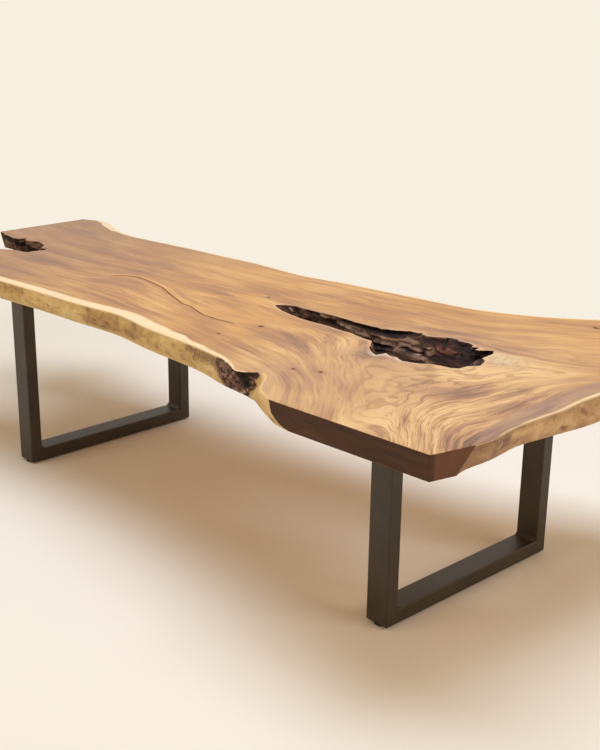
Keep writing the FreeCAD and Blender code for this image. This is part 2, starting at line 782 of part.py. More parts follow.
def make_nuts(doc, side, sign):
    """Weld nuts inside the foot rail that the leveller studs screw into."""
    body = new_body(doc, f"{side}_leveller_nuts")
    profile = new_sketch(body, f"{body.Name}_profile", "XY_Plane")
    for _, toward in ENDS:
        place = ("0", f"({toward})*{LEVELLER_Y}")
        draw_polygon(profile, hexagon(*place, "sizes.nut_across_flats"))
        draw_circle(profile, *place, "sizes.stud_diameter/2 + sizes.running_clearance")
    pad(body, profile, "sizes.nut_height")
    placed(body, frame_x(side, sign), frame_y(side), "sizes.foot_gap + sizes.tube_wall")
    return body


# ---------------------------------------------------------------- levellers

FOOT_TOP = "(sizes.foot_gap - sizes.foot_clearance)"


def stand_leveller(body, side, sign, toward, z="0"):
    """Put a piece of a leveller under its corner of the U frame, at a height."""
    placed(body, frame_x(side, sign), f"{frame_y(side)} + ({toward})*{LEVELLER_Y}", z)


def make_foot(doc, side, sign, end, toward):
    """Leveller foot: a moulded pad with flats, in whose socket the stud turns."""
    body = new_body(doc, f"{side}_{end}_leveller_foot")
    outline = new_sketch(body, f"{body.Name}_outline", "XY_Plane")
    draw_polygon(outline, [
        (f"sizes.foot_width/2*cos({turn * 360 / FOOT_FLATS})",
         f"sizes.foot_width/2*sin({turn * 360 / FOOT_FLATS})")
        for turn in range(FOOT_FLATS)
    ])
    pad(body, outline, FOOT_TOP)
    key_hole = new_sketch(body, f"{body.Name}_key_hole", "XY_Plane")
    draw_polygon(key_hole, hexagon("0", "0", "sizes.key_hole"))
    pocket(body, key_hole, "sizes.foot_floor", backwards=True)
    socket = new_sketch(body, f"{body.Name}_socket", "XY_Plane")
    bind(socket, **{".AttachmentOffset.Base.z": "sizes.foot_floor"})
    draw_circle(socket, "0", "0", "sizes.stud_diameter/2 + sizes.running_clearance")
    pocket(body, socket, "sizes.foot_gap", backwards=True)
    stand_leveller(body, side, sign, toward)
    return body


def make_stud(doc, side, sign, end, toward):
    """Leveller stud, with a hexagon socket reached from below."""
    body = new_body(doc, f"{side}_{end}_leveller_stud")
    section = new_sketch(body, f"{body.Name}_section", "XY_Plane")
    draw_circle(section, "0", "0", "sizes.stud_diameter/2")
    pad(body, section, "sizes.stud_length")
    socket = new_sketch(body, f"{body.Name}_socket", "XY_Plane")
    draw_polygon(socket, hexagon("0", "0", "sizes.socket_across_flats"))
    pocket(body, socket, "sizes.socket_depth", backwards=True)
    stand_leveller(body, side, sign, toward, z="sizes.foot_floor")
    return body


# ---------------------------------------------------------------- the whole table

def make_table(doc):
    """Every sub-part of the table."""
    sheet = new_sheet(doc)
    subparts = [make_tabletop(doc, sheet)]
    for side in SIDES:
        for end in ENDS:
            subparts += [make(doc, *side, *end) for make in (make_post, make_foot, make_stud)]
        subparts += [make(doc, *side) for make in (
            make_rail, make_plate, make_welds, make_screws, make_washers, make_nuts,
        )]
    doc.recompute()
    return subparts


def check(doc, subparts):
    """Stop if any object failed, or if a sub-part is empty or not valid."""
    failed = [item.Label for item in doc.Objects if {"Invalid", "Error"} & set(item.State)]
    if failed:
        raise RuntimeError(f"objects that failed: {failed}")
    for item in subparts:
        if item.Shape.isNull() or not item.Shape.Solids or not item.Shape.isValid():
            raise RuntimeError(f"{item.Label} has no valid solid")


def export(subparts):
    """Write each sub-part to its own STEP file."""
    os.makedirs("parts", exist_ok=True)
    for item in subparts:
        item.Shape.exportStep(f"parts/{item.Label}.step")
        print(f"{item.Label}: {len(item.Shape.Solids)} solids, "
              f"{item.Shape.Volume / 1000:.1f} cm3")


document = FreeCAD.newDocument("live_edge_dining_table")
table = make_table(document)
check(document, table)
export(table)
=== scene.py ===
import logging
import math
from dataclasses import dataclass
from enum import IntEnum
from typing import Iterable, Optional, Sequence, Union

import bmesh
import bpy
import numpy as np
from mathutils import Matrix, Vector, noise
from mathutils.bvhtree import BVHTree
from mathutils.kdtree import KDTree


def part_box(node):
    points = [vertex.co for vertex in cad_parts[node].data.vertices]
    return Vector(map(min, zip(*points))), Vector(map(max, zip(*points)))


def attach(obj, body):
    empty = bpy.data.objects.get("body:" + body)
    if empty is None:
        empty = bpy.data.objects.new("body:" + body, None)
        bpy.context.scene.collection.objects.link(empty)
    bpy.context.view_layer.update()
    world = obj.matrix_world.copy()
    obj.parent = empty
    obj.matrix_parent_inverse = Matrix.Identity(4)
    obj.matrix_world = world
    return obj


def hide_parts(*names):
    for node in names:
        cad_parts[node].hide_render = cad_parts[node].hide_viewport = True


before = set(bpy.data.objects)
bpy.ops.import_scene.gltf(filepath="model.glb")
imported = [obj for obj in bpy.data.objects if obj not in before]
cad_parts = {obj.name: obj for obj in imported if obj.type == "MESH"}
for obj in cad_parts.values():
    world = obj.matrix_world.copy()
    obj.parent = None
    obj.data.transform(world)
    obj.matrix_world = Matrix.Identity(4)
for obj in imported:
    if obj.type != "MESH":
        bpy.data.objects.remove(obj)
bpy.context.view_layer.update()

log = logging.getLogger("live_edge_table")

Point2 = tuple[float, float]
Point3 = tuple[float, float, float]
Colour = tuple[float, float, float, float]
Plug = Union["Wire", float, Sequence[float]]

MM = 0.001


# ---------------------------------------------------------------- colour and materials

def paint(code: str) -> Colour:
    """Linear colour of a hex code.

    Args:
        code: Six hex digits, as they are mixed for a screen.

    Returns:
        Red, green, blue and alpha for a shader socket.
    """
    parts = [int(code[index:index + 2], 16) / 255 for index in (0, 2, 4)]
    linear = [part / 12.92 if part <= 0.04045 else ((part + 0.055) / 1.055) ** 2.4 for part in parts]
    return (*linear, 1.0)


class Wire:
    """Value that runs through a material, on which sums add Math nodes."""

    def __init__(self, board: "Board", socket: bpy.types.NodeSocket) -> None:
        """Hold the board that the value runs on and the socket that gives it."""
        self.board = board
        self.socket = socket

    def __add__(self, other: Plug) -> "Wire":
        """Sum of the two."""
        return self.board.maths("ADD", self, other)

    __radd__ = __add__

    def __sub__(self, other: Plug) -> "Wire":
        """This less the other."""
        return self.board.maths("SUBTRACT", self, other)

    def __rsub__(self, other: Plug) -> "Wire":
        """The other less this."""
        return self.board.maths("SUBTRACT", other, self)

    def __mul__(self, other: Plug) -> "Wire":
        """Product of the two."""
        return self.board.maths("MULTIPLY", self, other)

    __rmul__ = __mul__

    def __abs__(self) -> "Wire":
        """Size of this, without its sign."""
        return self.board.maths("ABSOLUTE", self)

    def least(self, other: Plug) -> "Wire":
        """Smaller of the two."""
        return self.board.maths("MINIMUM", self, other)

    def most(self, other: Plug) -> "Wire":
        """Larger of the two."""
        return self.board.maths("MAXIMUM", self, other)


class Board:
    """Node tree of one material or world, with the few moves that a finish is made from."""

    def __init__(self, name: str, world: Optional[bpy.types.World] = None) -> None:
        """Start an empty material, or empty a world.

        Args:
            name: Name of the material.
            world: World to work on in place of a new material.
        """
        self.material = world or bpy.data.materials.new(name)
        self.material.use_nodes = True
        self.tree = self.material.node_tree
        self.tree.nodes.clear()

    def node(self, kind: str, settings: Optional[dict] = None,
             inputs: Optional[dict] = None) -> bpy.types.Node:
        """Add one node.

        Args:
            kind: Node type without its ShaderNode prefix.
            settings: Properties, set before any socket; stops are those of a ramp.
            inputs: Values or wires for its sockets, by name or by number.

        Returns:
            The node.
        """
        made = self.tree.nodes.new("ShaderNode" + kind)
        for name, value in (settings or {}).items():
            if name == "stops":
                self._set_stops(made.color_ramp, value)
            else:
                setattr(made, name, value)
        for name, value in (inputs or {}).items():
            self._plug(made.inputs[name], value)
        return made

    def _set_stops(self, ramp: bpy.types.ColorRamp, stops: Sequence[tuple[float, Colour]]) -> None:
        """Give a ramp its stops.

        Args:
            ramp: Ramp with at least one stop.
            stops: Place and colour of each, in order.
        """
        while len(ramp.elements) > 1:
            ramp.elements.remove(ramp.elements[-1])
        ramp.elements[0].position, ramp.elements[0].color = stops[0]
        for place, colour in stops[1:]:
            ramp.elements.new(place).color = colour

    def _plug(self, socket: bpy.types.NodeSocket, value: Plug) -> None:
        """Link a wire to a socket, or set its value.

        Args:
            socket: Input of a node.
            value: Wire, number, vector or colour.
        """
        if isinstance(value, Wire):
            self.tree.links.new(value.socket, socket)
        else:
            socket.default_value = value

    def maths(self, operation: str, *values: Plug) -> Wire:
        """Result of a Math node on the given values."""
        made = self.node("Math", {"operation": operation}, dict(enumerate(values)))
        return Wire(self, made.outputs[0])

    def vector(self, operation: str, *values: Plug) -> Wire:
        """Vector that a Vector Math node gives."""
        made = self.node("VectorMath", {"operation": operation}, dict(enumerate(values)))
        return Wire(self, made.outputs["Vector"])

    def away(self, place: Plug, centre: Point3, stretch: Point3 = (1, 1, 1)) -> Wire:
        """Distance from a centre, with each axis counted by its stretch."""
        shift = self.vector("MULTIPLY", self.vector("SUBTRACT", place, centre), stretch)
        made = self.node("VectorMath", {"operation": "LENGTH"}, {0: shift})
        return Wire(self, made.outputs["Value"])

    def join(self, x: Plug, y: Plug, z: Plug) -> Wire:
        """Vector of three values."""
        return Wire(self, self.node("CombineXYZ", {}, {0: x, 1: y, 2: z}).outputs[0])

    def split(self, value: Wire) -> tuple[Wire, Wire, Wire]:
        """Three values of a vector."""
        made = self.node("SeparateXYZ", {}, {0: value})
        return tuple(Wire(self, made.outputs[index]) for index in range(3))

    def place(self) -> Wire:
        """Object coordinates, in metres."""
        return Wire(self, self.node("TexCoord").outputs["Object"])

    def attribute(self, name: str) -> Wire:
        """Vector that the piece's mesh carries under a name."""
        made = self.node("Attribute", {"attribute_name": name, "attribute_type": "GEOMETRY"})
        return Wire(self, made.outputs["Vector"])

    def cloud(self, place: Plug, scale: float, detail: float = 2.0, roughness: float = 0.5,
              distortion: float = 0.0) -> Wire:
        """Soft random value.

        Args:
            place: Coordinates to read.
            scale: Patches to a metre.
            detail: Number of finer layers.
            roughness: Weight of the finer layers.
            distortion: How far the patches are twisted.

        Returns:
            Value from 0 to 1.
        """
        made = self.node("TexNoise", {"noise_dimensions": "3D"},
                         {"Vector": place, "Scale": scale, "Detail": detail,
                          "Roughness": roughness, "Distortion": distortion})
        return Wire(self, made.outputs["Fac"])

    def strands(self, place: Plug, stretch: Point3, detail: float = 2.0, roughness: float = 0.5,
                distortion: float = 0.0) -> Wire:
        """Soft random value whose patches are finer along each axis by its stretch."""
        drawn = self.vector("MULTIPLY", place, stretch)
        return self.cloud(drawn, 1.0, detail, roughness, distortion)

    def step(self, value: Plug, low: float, high: float, start: float = 0.0, end: float = 1.0) -> Wire:
        """Smooth step of a value between two of its amounts.

        Args:
            value: Wire to read.
            low: Amount at which the step starts; it may be above high.
            high: Amount at which it ends.
            start: Result at low and beyond.
            end: Result at high and beyond.

        Returns:
            The stepped value.
        """
        if low > high:
            low, high, start, end = high, low, end, start
        made = self.node("MapRange", {"interpolation_type": "SMOOTHSTEP"},
                         {0: value, 1: low, 2: high, 3: start, 4: end})
        return Wire(self, made.outputs[0])

    def blend(self, share: Plug, first: Plug, second: Plug, mode: str = "MIX") -> Wire:
        """Mix of two colours by a share of the second."""
        made = self.node("Mix", {"data_type": "RGBA", "blend_type": mode},
                         {0: share, 6: first, 7: second})
        return Wire(self, made.outputs[2])

    def glaze(self, ground: Plug, *coats: tuple[Plug, str]) -> Wire:
        """Ground with coats of paint over it, each a share and a hex code."""
        for share, code in coats:
            ground = self.blend(share, ground, paint(code))
        return ground

    def ramp(self, value: Plug, *stops: tuple[float, str]) -> Wire:
        """Colour by a value, through stops of place and hex code."""
        settings = {"stops": [(place, paint(code)) for place, code in stops]}
        return Wire(self, self.node("ValToRGB", settings, {0: value}).outputs[0])

    def bump(self, height: Wire, depth: float, strength: float = 1.0,
             under: Optional[Wire] = None) -> Wire:
        """Normal that a height gives.

        Args:
            height: Height from 0 to 1.
            depth: What a height of 1 stands for, in metres.
            strength: Share of the effect.
            under: Normal to work on, where there is one.

        Returns:
            The new normal.
        """
        inputs = {"Height": height, "Distance": depth, "Strength": strength}
        if under is not None:
            inputs["Normal"] = under
        return Wire(self, self.node("Bump", {}, inputs).outputs[0])

    def finish(self, **inputs: Plug) -> bpy.types.Material:
        """Close the material with a Principled shader.

        Args:
            inputs: Socket values by name, with underscores for spaces.

        Returns:
            The material.
        """
        named = {name.replace("_", " "): value for name, value in inputs.items()}
        shader = self.node("BsdfPrincipled", {}, named)
        output = self.node("OutputMaterial")
        self.tree.links.new(shader.outputs[0], output.inputs[0])
        return self.material


@dataclass(frozen=True)
class FiguredWood:
    """Oiled face of the slab, whose figure follows the grain map that its mesh carries."""

    plain: tuple[tuple[float, str], ...] = (
        (0.16, "7C4923"), (0.40, "AF7132"), (0.60, "CF9344"), (0.88, "E9BA72"))
    swirled: tuple[tuple[float, str], ...] = (
        (0.16, "83553C"), (0.32, "B68459"), (0.50, "D0A169"), (0.72, "E6BC80"))
    torn: tuple[tuple[float, str], ...] = ((0.34, "5F3F30"), (0.44, "BC9274"), (0.54, "EBD0B4"))
    fanned: tuple[tuple[float, str], ...] = ((0.34, "8E6C50"), (0.45, "C7A67E"), (0.60, "E3C69C"))
    pink: str = "8C5939"
    purple: str = "96705E"
    sap: str = "F3D7A9"
    swirl_heart: Point3 = (1.14, -0.40, 0.76)
    torn_heart: Point3 = (0.880, -0.215, 0.76)
    fan_heart: Point3 = (1.120, 0.055, 0.76)
    eyes: tuple[Point3, ...] = (
        (0.092, -0.008, 0.010), (0.357, -0.278, 0.014), (0.330, -0.440, 0.009),
        (0.840, -0.458, 0.010), (0.765, -0.500, 0.009), (1.114, 0.584, 0.013),
        (-0.780, 0.020, 0.006))

    def mix(self) -> bpy.types.Material:
        """Build the material.

        Returns:
            Material for the top, the underside and the eased rims.
        """
        board = Board("figured_suar_wood")
        place = board.place()
        x, y, z = board.split(place)
        grain, sap_depth, check_gap = board.split(board.attribute("figure"))
        check_force, band_depth, rim_gap = board.split(board.attribute("marks"))
        golden = board.split(board.attribute("warm"))[2]

        sway = board.cloud(place, 2.3, 2.0) - 0.5
        drift = board.cloud(place, 6.5, 2.0) - 0.5
        ripple = board.cloud(place, 17.0, 3.0) - 0.5
        swirl = board.step(board.away(place, self.swirl_heart, (1.0, 0.85, 1.0)), 0.86, 0.30)
        warped = grain + sway * 0.042 + drift * (0.012 + swirl * 0.016)
        warped = warped + ripple * (0.004 + swirl * 0.002)

        broad = board.cloud(board.join(warped * 15.0, x * 2.6, y * 2.6), 1.0, 2.0, 0.5, 0.3)
        streak = board.cloud(board.join(warped * 52.0, x * 4.2, y * 4.2 + 5.0), 1.0, 3.0, 0.58, 0.2)
        thread = board.cloud(board.join(warped * 210.0, x * 8.0, y * 8.0 + 9.0), 1.0, 3.0, 0.6)
        vein = board.cloud(board.join(warped * 88.0, x * 4.6, y * 4.6 + 2.0), 1.0, 2.0, 0.5)
        pores = board.cloud(board.join(warped * 1300.0, x * 34.0, y * 34.0), 1.0, 1.0)
        loud = board.step(board.cloud(board.vector("ADD", place, (3.0, 7.0, 1.0)), 2.1, 1.0),
                          0.34, 0.62, 0.45, 1.0)
        bloom = board.cloud(board.vector("ADD", place, (8.0, 2.0, 5.0)), 3.1, 2.0) - 0.5

        tone = (broad - 0.5) * (1.0 + swirl * 0.5) + (streak - 0.5) * (0.80 + swirl * 0.35)
        tone = tone * loud + bloom * (0.35 + swirl * 0.45) + 0.50
        wood = board.ramp(tone, *self.plain)
        wood = board.blend(swirl * 0.85, wood, board.ramp(tone, *self.swirled))

        left = board.step(x, -0.1, -1.25)
        patch = board.cloud(place, 1.7, 2.0)
        rosy = (left * 0.80 + board.step(patch, 0.52, 0.72) * 0.20) * (1.0 - swirl)
        stained = board.blend(0.55, wood, paint(self.pink), "MULTIPLY")
        wood = board.glaze(board.blend(rosy * 0.7, wood, stained), (rosy * 0.55, self.pink))

        ring = board.step(abs(vein - 0.5), 0.045, 0.010) * loud
        wood = board.blend(ring * (0.26 + swirl * 0.34), wood, paint("A9764F"), "MULTIPLY")
        fine = board.step(thread, 0.48, 0.30) * loud
        wood = board.blend(fine * (0.24 + swirl * 0.22), wood, paint("9A6A4C"), "MULTIPLY")
        pore = board.step(pores, 0.34, 0.24) * board.step(thread, 0.62, 0.40)
        band = board.step(band_depth + sway * 0.02, -0.004, 0.010)
        wood = board.glaze(wood, (board.step(thread, 0.55, 0.8) * 0.18, "F2CF98"),
                           (pore * 0.35, "6B4229"), (band * (0.62 + (streak - 0.5) * 0.5), self.purple))

        halo = board.step(abs(check_gap + ripple * 0.004), 0.045, 0.002) * check_force
        below = board.step(check_gap, 0.002, -0.006)
        core = board.step(abs(check_gap + ripple * 0.005), 0.0062, 0.0014) * board.step(
            check_force + (streak - 0.5) * 0.7, 0.1, 0.5)
        wood = board.glaze(wood, (halo * below * 0.6, "94582F"), (halo * (1.0 - below) * 0.65, "E6AE5C"),
                           (core * 0.9, "743916"))
        for eye_x, eye_y, radius in self.eyes:
            gap = board.away(place, (eye_x, eye_y, 0.76), (0.75, 1.0, 1.0)) + ripple * 0.012
            eye = board.step(gap, radius, radius * 0.3)
            wood = board.glaze(wood, (board.step(gap, radius * 2.4, radius * 0.6) * 0.5, "9A5F36"),
                               (eye * 0.9, "5C2C12"))
            core = core.most(eye)

        raw = board.step(rim_gap + ripple * 0.016, 0.016, 0.001) * board.step(z, 0.70, 0.74)
        fibres = board.strands(place, (260.0, 42.0, 60.0), 3.0, 0.7)
        torn = board.step(rim_gap + (fibres - 0.5) * 0.10, 0.024, 0.012) * board.step(
            board.away(place, self.torn_heart, (1.0, 1.5, 1.0)), 0.115, 0.060)
        fan = board.step(board.away(place, self.fan_heart, (0.8, 1.3, 1.0)) + (fibres - 0.5) * 0.12,
                         0.105, 0.030)
        wood = board.glaze(wood, (raw * 0.40, "DDB592"))
        wood = board.blend(torn * 0.85, wood, board.ramp(fibres, *self.torn))
        wood = board.glaze(wood, (golden * 0.42, "E6BE84"))
        wood = board.blend(fan * 0.75, wood, board.ramp(fibres, *self.fanned))

        pale = board.step(sap_depth + sway * 0.010 + ripple * 0.004, -0.003, 0.007)
        sapwood = board.glaze(paint(self.sap), (board.step(streak, 0.4, 0.7) * 0.5, "EFCB93"))
        sheen = 0.36 + (streak - 0.5) * 0.12 + pore * 0.15 + pale * 0.05 + core * 0.45
        relief = board.bump(pores * 0.5 + thread * 0.5, 0.0004, 0.35)
        return board.finish(Base_Color=board.blend(pale, wood, sapwood), Roughness=sheen, Normal=relief,
                            Coat_Weight=(1.0 - core) * 0.12, Coat_Roughness=0.3)


@dataclass(frozen=True)
class LiveEdge:
    """Debarked natural edge: olive and golden sapwood with pin knots and patches of inner bark."""

    plain: tuple[tuple[float, str], ...] = (
        (0.35, "886434"), (0.44, "B68E52"), (0.53, "D3AF6A"), (0.65, "EACD92"))
    end_grain: tuple[tuple[float, str], ...] = (
        (0.36, "6A482B"), (0.44, "9F744A"), (0.53, "C0935F"), (0.64, "DDB683"))
    turned: tuple[tuple[float, str], ...] = ((0.26, "A07A48"), (0.42, "D0A66A"), (0.58, "EBC488"))
    bark: tuple[tuple[float, str], ...] = (
        (0.26, "1B0E0A"), (0.42, "452C23"), (0.58, "74523F"), (0.80, "B08B72"))
    turned_heart: Point3 = (0.86, -0.68, 0.74)

    def mix(self) -> bpy.types.Material:
        """Build the material.

        Returns:
            Material for the natural sides.
        """
        board = Board("live_edge_sapwood")
        place = board.place()
        x, _, z = board.split(place)
        bark_share, pale, dark = board.split(board.attribute("cool"))
        red, grey, golden = board.split(board.attribute("warm"))
        relief_shade = board.split(board.attribute("skin"))[0]
        patch = board.strands(place, (6.0, 6.0, 15.0), 3.0, 0.55)
        cloudy = board.strands(place, (24.0, 24.0, 46.0), 4.0, 0.62)
        speck = board.cloud(place, 190.0, 3.0, 0.65)
        chip = board.cloud(place, 75.0, 4.0, 0.7)
        tone = patch * 0.55 + cloudy * 0.45

        near_end = board.step(x, 1.38, 1.47)
        wood = board.blend(near_end, board.ramp(tone, *self.plain), board.ramp(tone, *self.end_grain))
        wood = board.glaze(wood, (board.step(cloudy, 0.56, 0.72) * 0.40, "A58A55"))
        wood = self._end(board, place, wood, near_end)
        fleck = board.strands(place, (34.0, 34.0, 70.0), 4.0, 0.7)
        foot = board.step(z, 0.702, 0.688) * (1.0 - near_end)
        wood = board.glaze(wood, (board.step(fleck, 0.38, 0.32) * (1.0 - near_end) * 0.55, "7C5C30"),
                           (board.step(speck, 0.62, 0.78) * 0.25, "8A6B3C"), (foot * 0.45, "D8BE82"))

        # Painted shade: the turned facet darkens towards its bottom, where it turns away from the light.
        turned = board.ramp(tone + (z - 0.722) * 4.0, *self.turned)
        wood = board.blend(board.step(golden, 0.15, 0.6), wood, turned)
        grains = board.step(grey + (speck - 0.5) * 1.9 + (chip - 0.5) * 0.8, 0.34, 0.62)
        wood = board.glaze(wood, (board.step(grey, 0.15, 0.6) * 0.55, "A88352"))
        wood = board.blend(grains * 0.8, wood,
                           board.blend(board.step(chip, 0.4, 0.6), paint("5E4226"), paint("8C6A40")))
        turned_side = board.step(board.away(place, self.turned_heart), 0.22, 0.13)
        top_line = board.step(z, 0.7525, 0.7580) * (1.0 - board.step(bark_share, 0.3, 0.7))
        wood = board.glaze(wood, (board.step(red + (chip - 0.5) * 0.5, 0.25, 0.8) * 0.75, "8E5237"),
                           (top_line * 0.7 * (1.0 - turned_side), "EFD2A2"))

        shreds = board.strands(place, (60.0, 60.0, 120.0), 4.0, 0.68)
        fringe = board.step(bark_share + (cloudy - 0.5) * 0.8, 0.04, 0.34)
        wood = board.blend(fringe * 0.5, wood,
                           board.blend(board.step(chip, 0.42, 0.58), paint("755237"), paint("A98253")))
        barky = board.step(bark_share + (chip - 0.5) * 0.8 + (cloudy - 0.5) * 0.9, 0.34, 0.56)
        # Painted shade: sunk bark is painted darker and raised bark lighter, by how far it stands out.
        bark = board.ramp(shreds * 0.46 + (relief_shade - 0.5) * 0.9 + 0.27, *self.bark)
        # DARK marks: the real dark of pin knots and cracks, and painted shade in the knot's deepest
        # hollows.
        wood = board.glaze(board.blend(barky, wood, bark),
                           (board.step(pale + (chip - 0.5) * 0.9, 0.45, 0.65), "C9B09A"),
                           (board.step(dark + (chip - 0.5) * 0.45, 0.30, 0.75) * 0.9, "2B1B12"))

        relief = board.bump(cloudy, 0.003, 0.4)
        relief = board.bump(speck * 0.3 + shreds * barky * 1.6, 0.004, 0.8, relief)
        return board.finish(Base_Color=wood, Roughness=0.52 + barky * 0.3, Normal=relief)

    def _end(self, board: Board, place: Wire, wood: Wire, share: Wire) -> Wire:
        """Colour the slab's near end: blotches, ruddy patches, seams and a darker stretch.

        Args:
            board: Material to work on.
            place: Object coordinates.
            wood: Colour so far.
            share: How far a place belongs to the near end.

        Returns:
            The new colour.
        """
        ruddy = board.step(board.strands(place, (9.0, 9.0, 22.0), 2.0), 0.55, 0.68)
        blotch = board.strands(place, (15.0, 15.0, 26.0), 3.0, 0.6, 0.6)
        seam = board.strands(place, (9.0, 52.0, 14.0), 3.0, 0.65, 0.4)
        shade = board.step(board.split(place)[1], -0.22, -0.46)
        coats = ((board.step(blotch, 0.46, 0.36), 0.65, "8A6238"),
                 (board.step(blotch, 0.54, 0.64), 0.65, "E2BE8E"),
                 (ruddy, 0.55, "B4734F"), (shade, 0.34, "6A4A2A"), (1.0 - shade, 0.35, "D2AC7C"),
                 (board.step(seam, 0.36, 0.30), 0.7, "6E4E30"))
        return board.glaze(wood, *((mask * share * force, code) for mask, force, code in coats))


@dataclass(frozen=True)
class SawnWood:
    """Sawn and sanded edge, dark with oil, with faint growth lines."""

    plain: tuple[tuple[float, str], ...] = ((0.28, "3A210C"), (0.50, "4B2D15"), (0.72, "583820"))

    def mix(self) -> bpy.types.Material:
        """Build the material.

        Returns:
            Material for the sawn faces.
        """
        board = Board("sawn_dark_wood")
        place = board.place()
        x, y, z = board.split(place)
        bend = board.cloud(place, 5.0, 2.0) - 0.5
        lines = board.join(x * 5.0 + bend * 0.6, y * 5.0, z * 60.0 + bend * 5.0)
        rings = board.cloud(lines, 1.0, 3.0, 0.55)
        grit = board.strands(place, (260.0, 260.0, 420.0))
        corner = board.step(x, 1.4965, 1.4985)
        cloud = board.cloud(place, 22.0, 3.0, 0.6)
        wood = board.glaze(board.ramp(rings, *self.plain), (corner * (0.35 + cloud * 0.5), "7F5239"),
                           (board.step(grit, 0.45, 0.25) * 0.35, "2A170F"))
        return board.finish(Base_Color=wood, Roughness=0.58 + (rings - 0.5) * 0.15,
                            Normal=board.bump(grit, 0.0004, 0.4), Specular_IOR_Level=0.28)


@dataclass(frozen=True)
class InnerBark:
    """Dark old bark and weathered wood that line the void and the split, with painted shade in their
    hollows and painted highlights on their ledges and flakes.
    """

    plain: tuple[tuple[float, str], ...] = (
        (0.26, "120804"), (0.44, "2F1A0F"), (0.60, "4F3322"), (0.80, "8A6B54"))
    ruddy: tuple[tuple[float, str], ...] = (
        (0.28, "130603"), (0.48, "2D1209"), (0.64, "472014"), (0.84, "774630"))

    def mix(self) -> bpy.types.Material:
        """Build the material.

        Returns:
            Material for the walls of the void and the split.
        """
        board = Board("inner_bark")
        place = board.place()
        x = board.split(place)[0]
        _, pale, dark = board.split(board.attribute("cool"))
        red, grey, golden = board.split(board.attribute("warm"))
        relief_shade, depth, _ = board.split(board.attribute("skin"))
        fibre = board.strands(place, (26.0, 40.0, 150.0), 5.0, 0.64)
        crumb = board.cloud(place, 130.0, 4.0, 0.7)
        patch = board.strands(place, (7.0, 10.0, 22.0))

        # Painted shade: sunk parts of the wall are painted darker and raised parts lighter, by how far
        # they stand out.
        tone = fibre * 0.46 + crumb * 0.24 + (relief_shade - 0.5) * 0.60 + 0.22 + (patch - 0.5) * 0.35
        tone = tone - board.step(x, 0.90, 1.00) * 0.13
        tone = tone + board.step(x, 0.66, 0.58) * board.step(x, 0.2, 0.4) * 0.04
        bark = board.blend(board.step(red + (patch - 0.5) * 0.8, 0.2, 0.7),
                           board.ramp(tone, *self.plain), board.ramp(tone, *self.ruddy))
        weathered = board.blend(board.step(fibre, 0.38, 0.62), paint("54423A"), paint("8A7464"))
        bark = board.blend(board.step(grey + (crumb - 0.5) * 0.5, 0.3, 0.8) * 0.7, bark, weathered)
        sunlit = board.blend(board.step(fibre, 0.36, 0.64), paint("5C3C2A"), paint("956D50"))
        bark = board.blend(board.step(golden + (crumb - 0.5) * 0.5, 0.3, 0.8) * 0.75, bark, sunlit)
        # Painted highlight along the top edge of the walls, a few millimetres deep.
        lit_edge_highlight = board.step(depth + (crumb - 0.5) * 0.006, 0.0040, 0.0012)
        # Painted highlights on the lit edges of flakes (PALE) and painted shade, near black, in
        # recesses, hollows and cracks (DARK).
        bark = board.glaze(bark, (board.step(pale + (crumb - 0.5) * 0.9, 0.45, 0.7) * 0.85, "AC9684"),
                           (board.step(dark + (crumb - 0.5) * 0.3, 0.25, 0.75) * 0.9, "0E0805"),
                           (lit_edge_highlight * 0.6, "A67C5C"))
        relief = board.bump(crumb, 0.003, 0.6, board.bump(fibre, 0.007, 0.8))
        return board.finish(Base_Color=bark, Roughness=0.84 - board.step(tone, 0.5, 0.8) * 0.25,
                            Normal=relief, Specular_IOR_Level=0.3)


@dataclass(frozen=True)
class PowderCoat:
    """Fine-textured black-bronze powder coat over steel."""

    def mix(self) -> bpy.types.Material:
        """Build the material.

        Returns:
            Material for the leg frames.
        """
        board = Board("black_bronze_powder_coat")
        place = board.place()
        stipple = board.cloud(place, 1400.0, 2.0)
        drift = board.cloud(place, 9.0, 3.0)
        rub = board.cloud(place, 60.0, 4.0, 0.65)
        coat = board.glaze(paint("3A3024"), (board.step(drift, 0.35, 0.7) * 0.5, "4D4131"),
                           (board.step(rub, 0.66, 0.8) * 0.3, "57504A"))
        sheen = 0.44 + (drift - 0.5) * 0.10 + (stipple - 0.5) * 0.10
        return board.finish(Base_Color=coat, Roughness=sheen, Metallic=0.25,
                            Normal=board.bump(stipple, 0.0003, 0.35))


@dataclass(frozen=True)
class PlatedSteel:
    """Dull zinc plating of a fastener."""

    def mix(self) -> bpy.types.Material:
        """Build the material.

        Returns:
            Material for screws, washers, nuts and studs.
        """
        board = Board("zinc_plated_steel")
        place = board.place()
        haze = board.cloud(place, 160.0, 3.0)
        turned = board.strands(place, (90.0, 90.0, 3200.0), 1.0)
        metal = board.glaze(paint("A9ADB0"), (board.step(haze, 0.35, 0.65), "83888C"))
        return board.finish(Base_Color=metal, Metallic=1.0, Roughness=0.34 + (haze - 0.5) * 0.3,
                            Normal=board.bump(turned, 0.0002, 0.3))


@dataclass(frozen=True)
class Nylon:
    """Moulded black nylon with a faint grain."""

    def mix(self) -> bpy.types.Material:
        """Build the material.

        Returns:
            Material for the leveller feet.
        """
        board = Board("black_nylon")
        place = board.place()
        grain = board.cloud(place, 900.0, 2.0)
        scuff = board.cloud(place, 70.0, 3.0)
        colour = board.glaze(paint("17161A"), (board.step(scuff, 0.6, 0.75) * 0.4, "3A3836"))
        return board.finish(Base_Color=colour, Roughness=0.55 + (scuff - 0.5) * 0.2,
                            Normal=board.bump(grain, 0.0003, 0.3))


# ---------------------------------------------------------------- the figure of the slab

class Skin(IntEnum):
    """Material slots of the slab."""

    FACE = 0
    LIVE = 1
    SAWN = 2
    BARK = 3


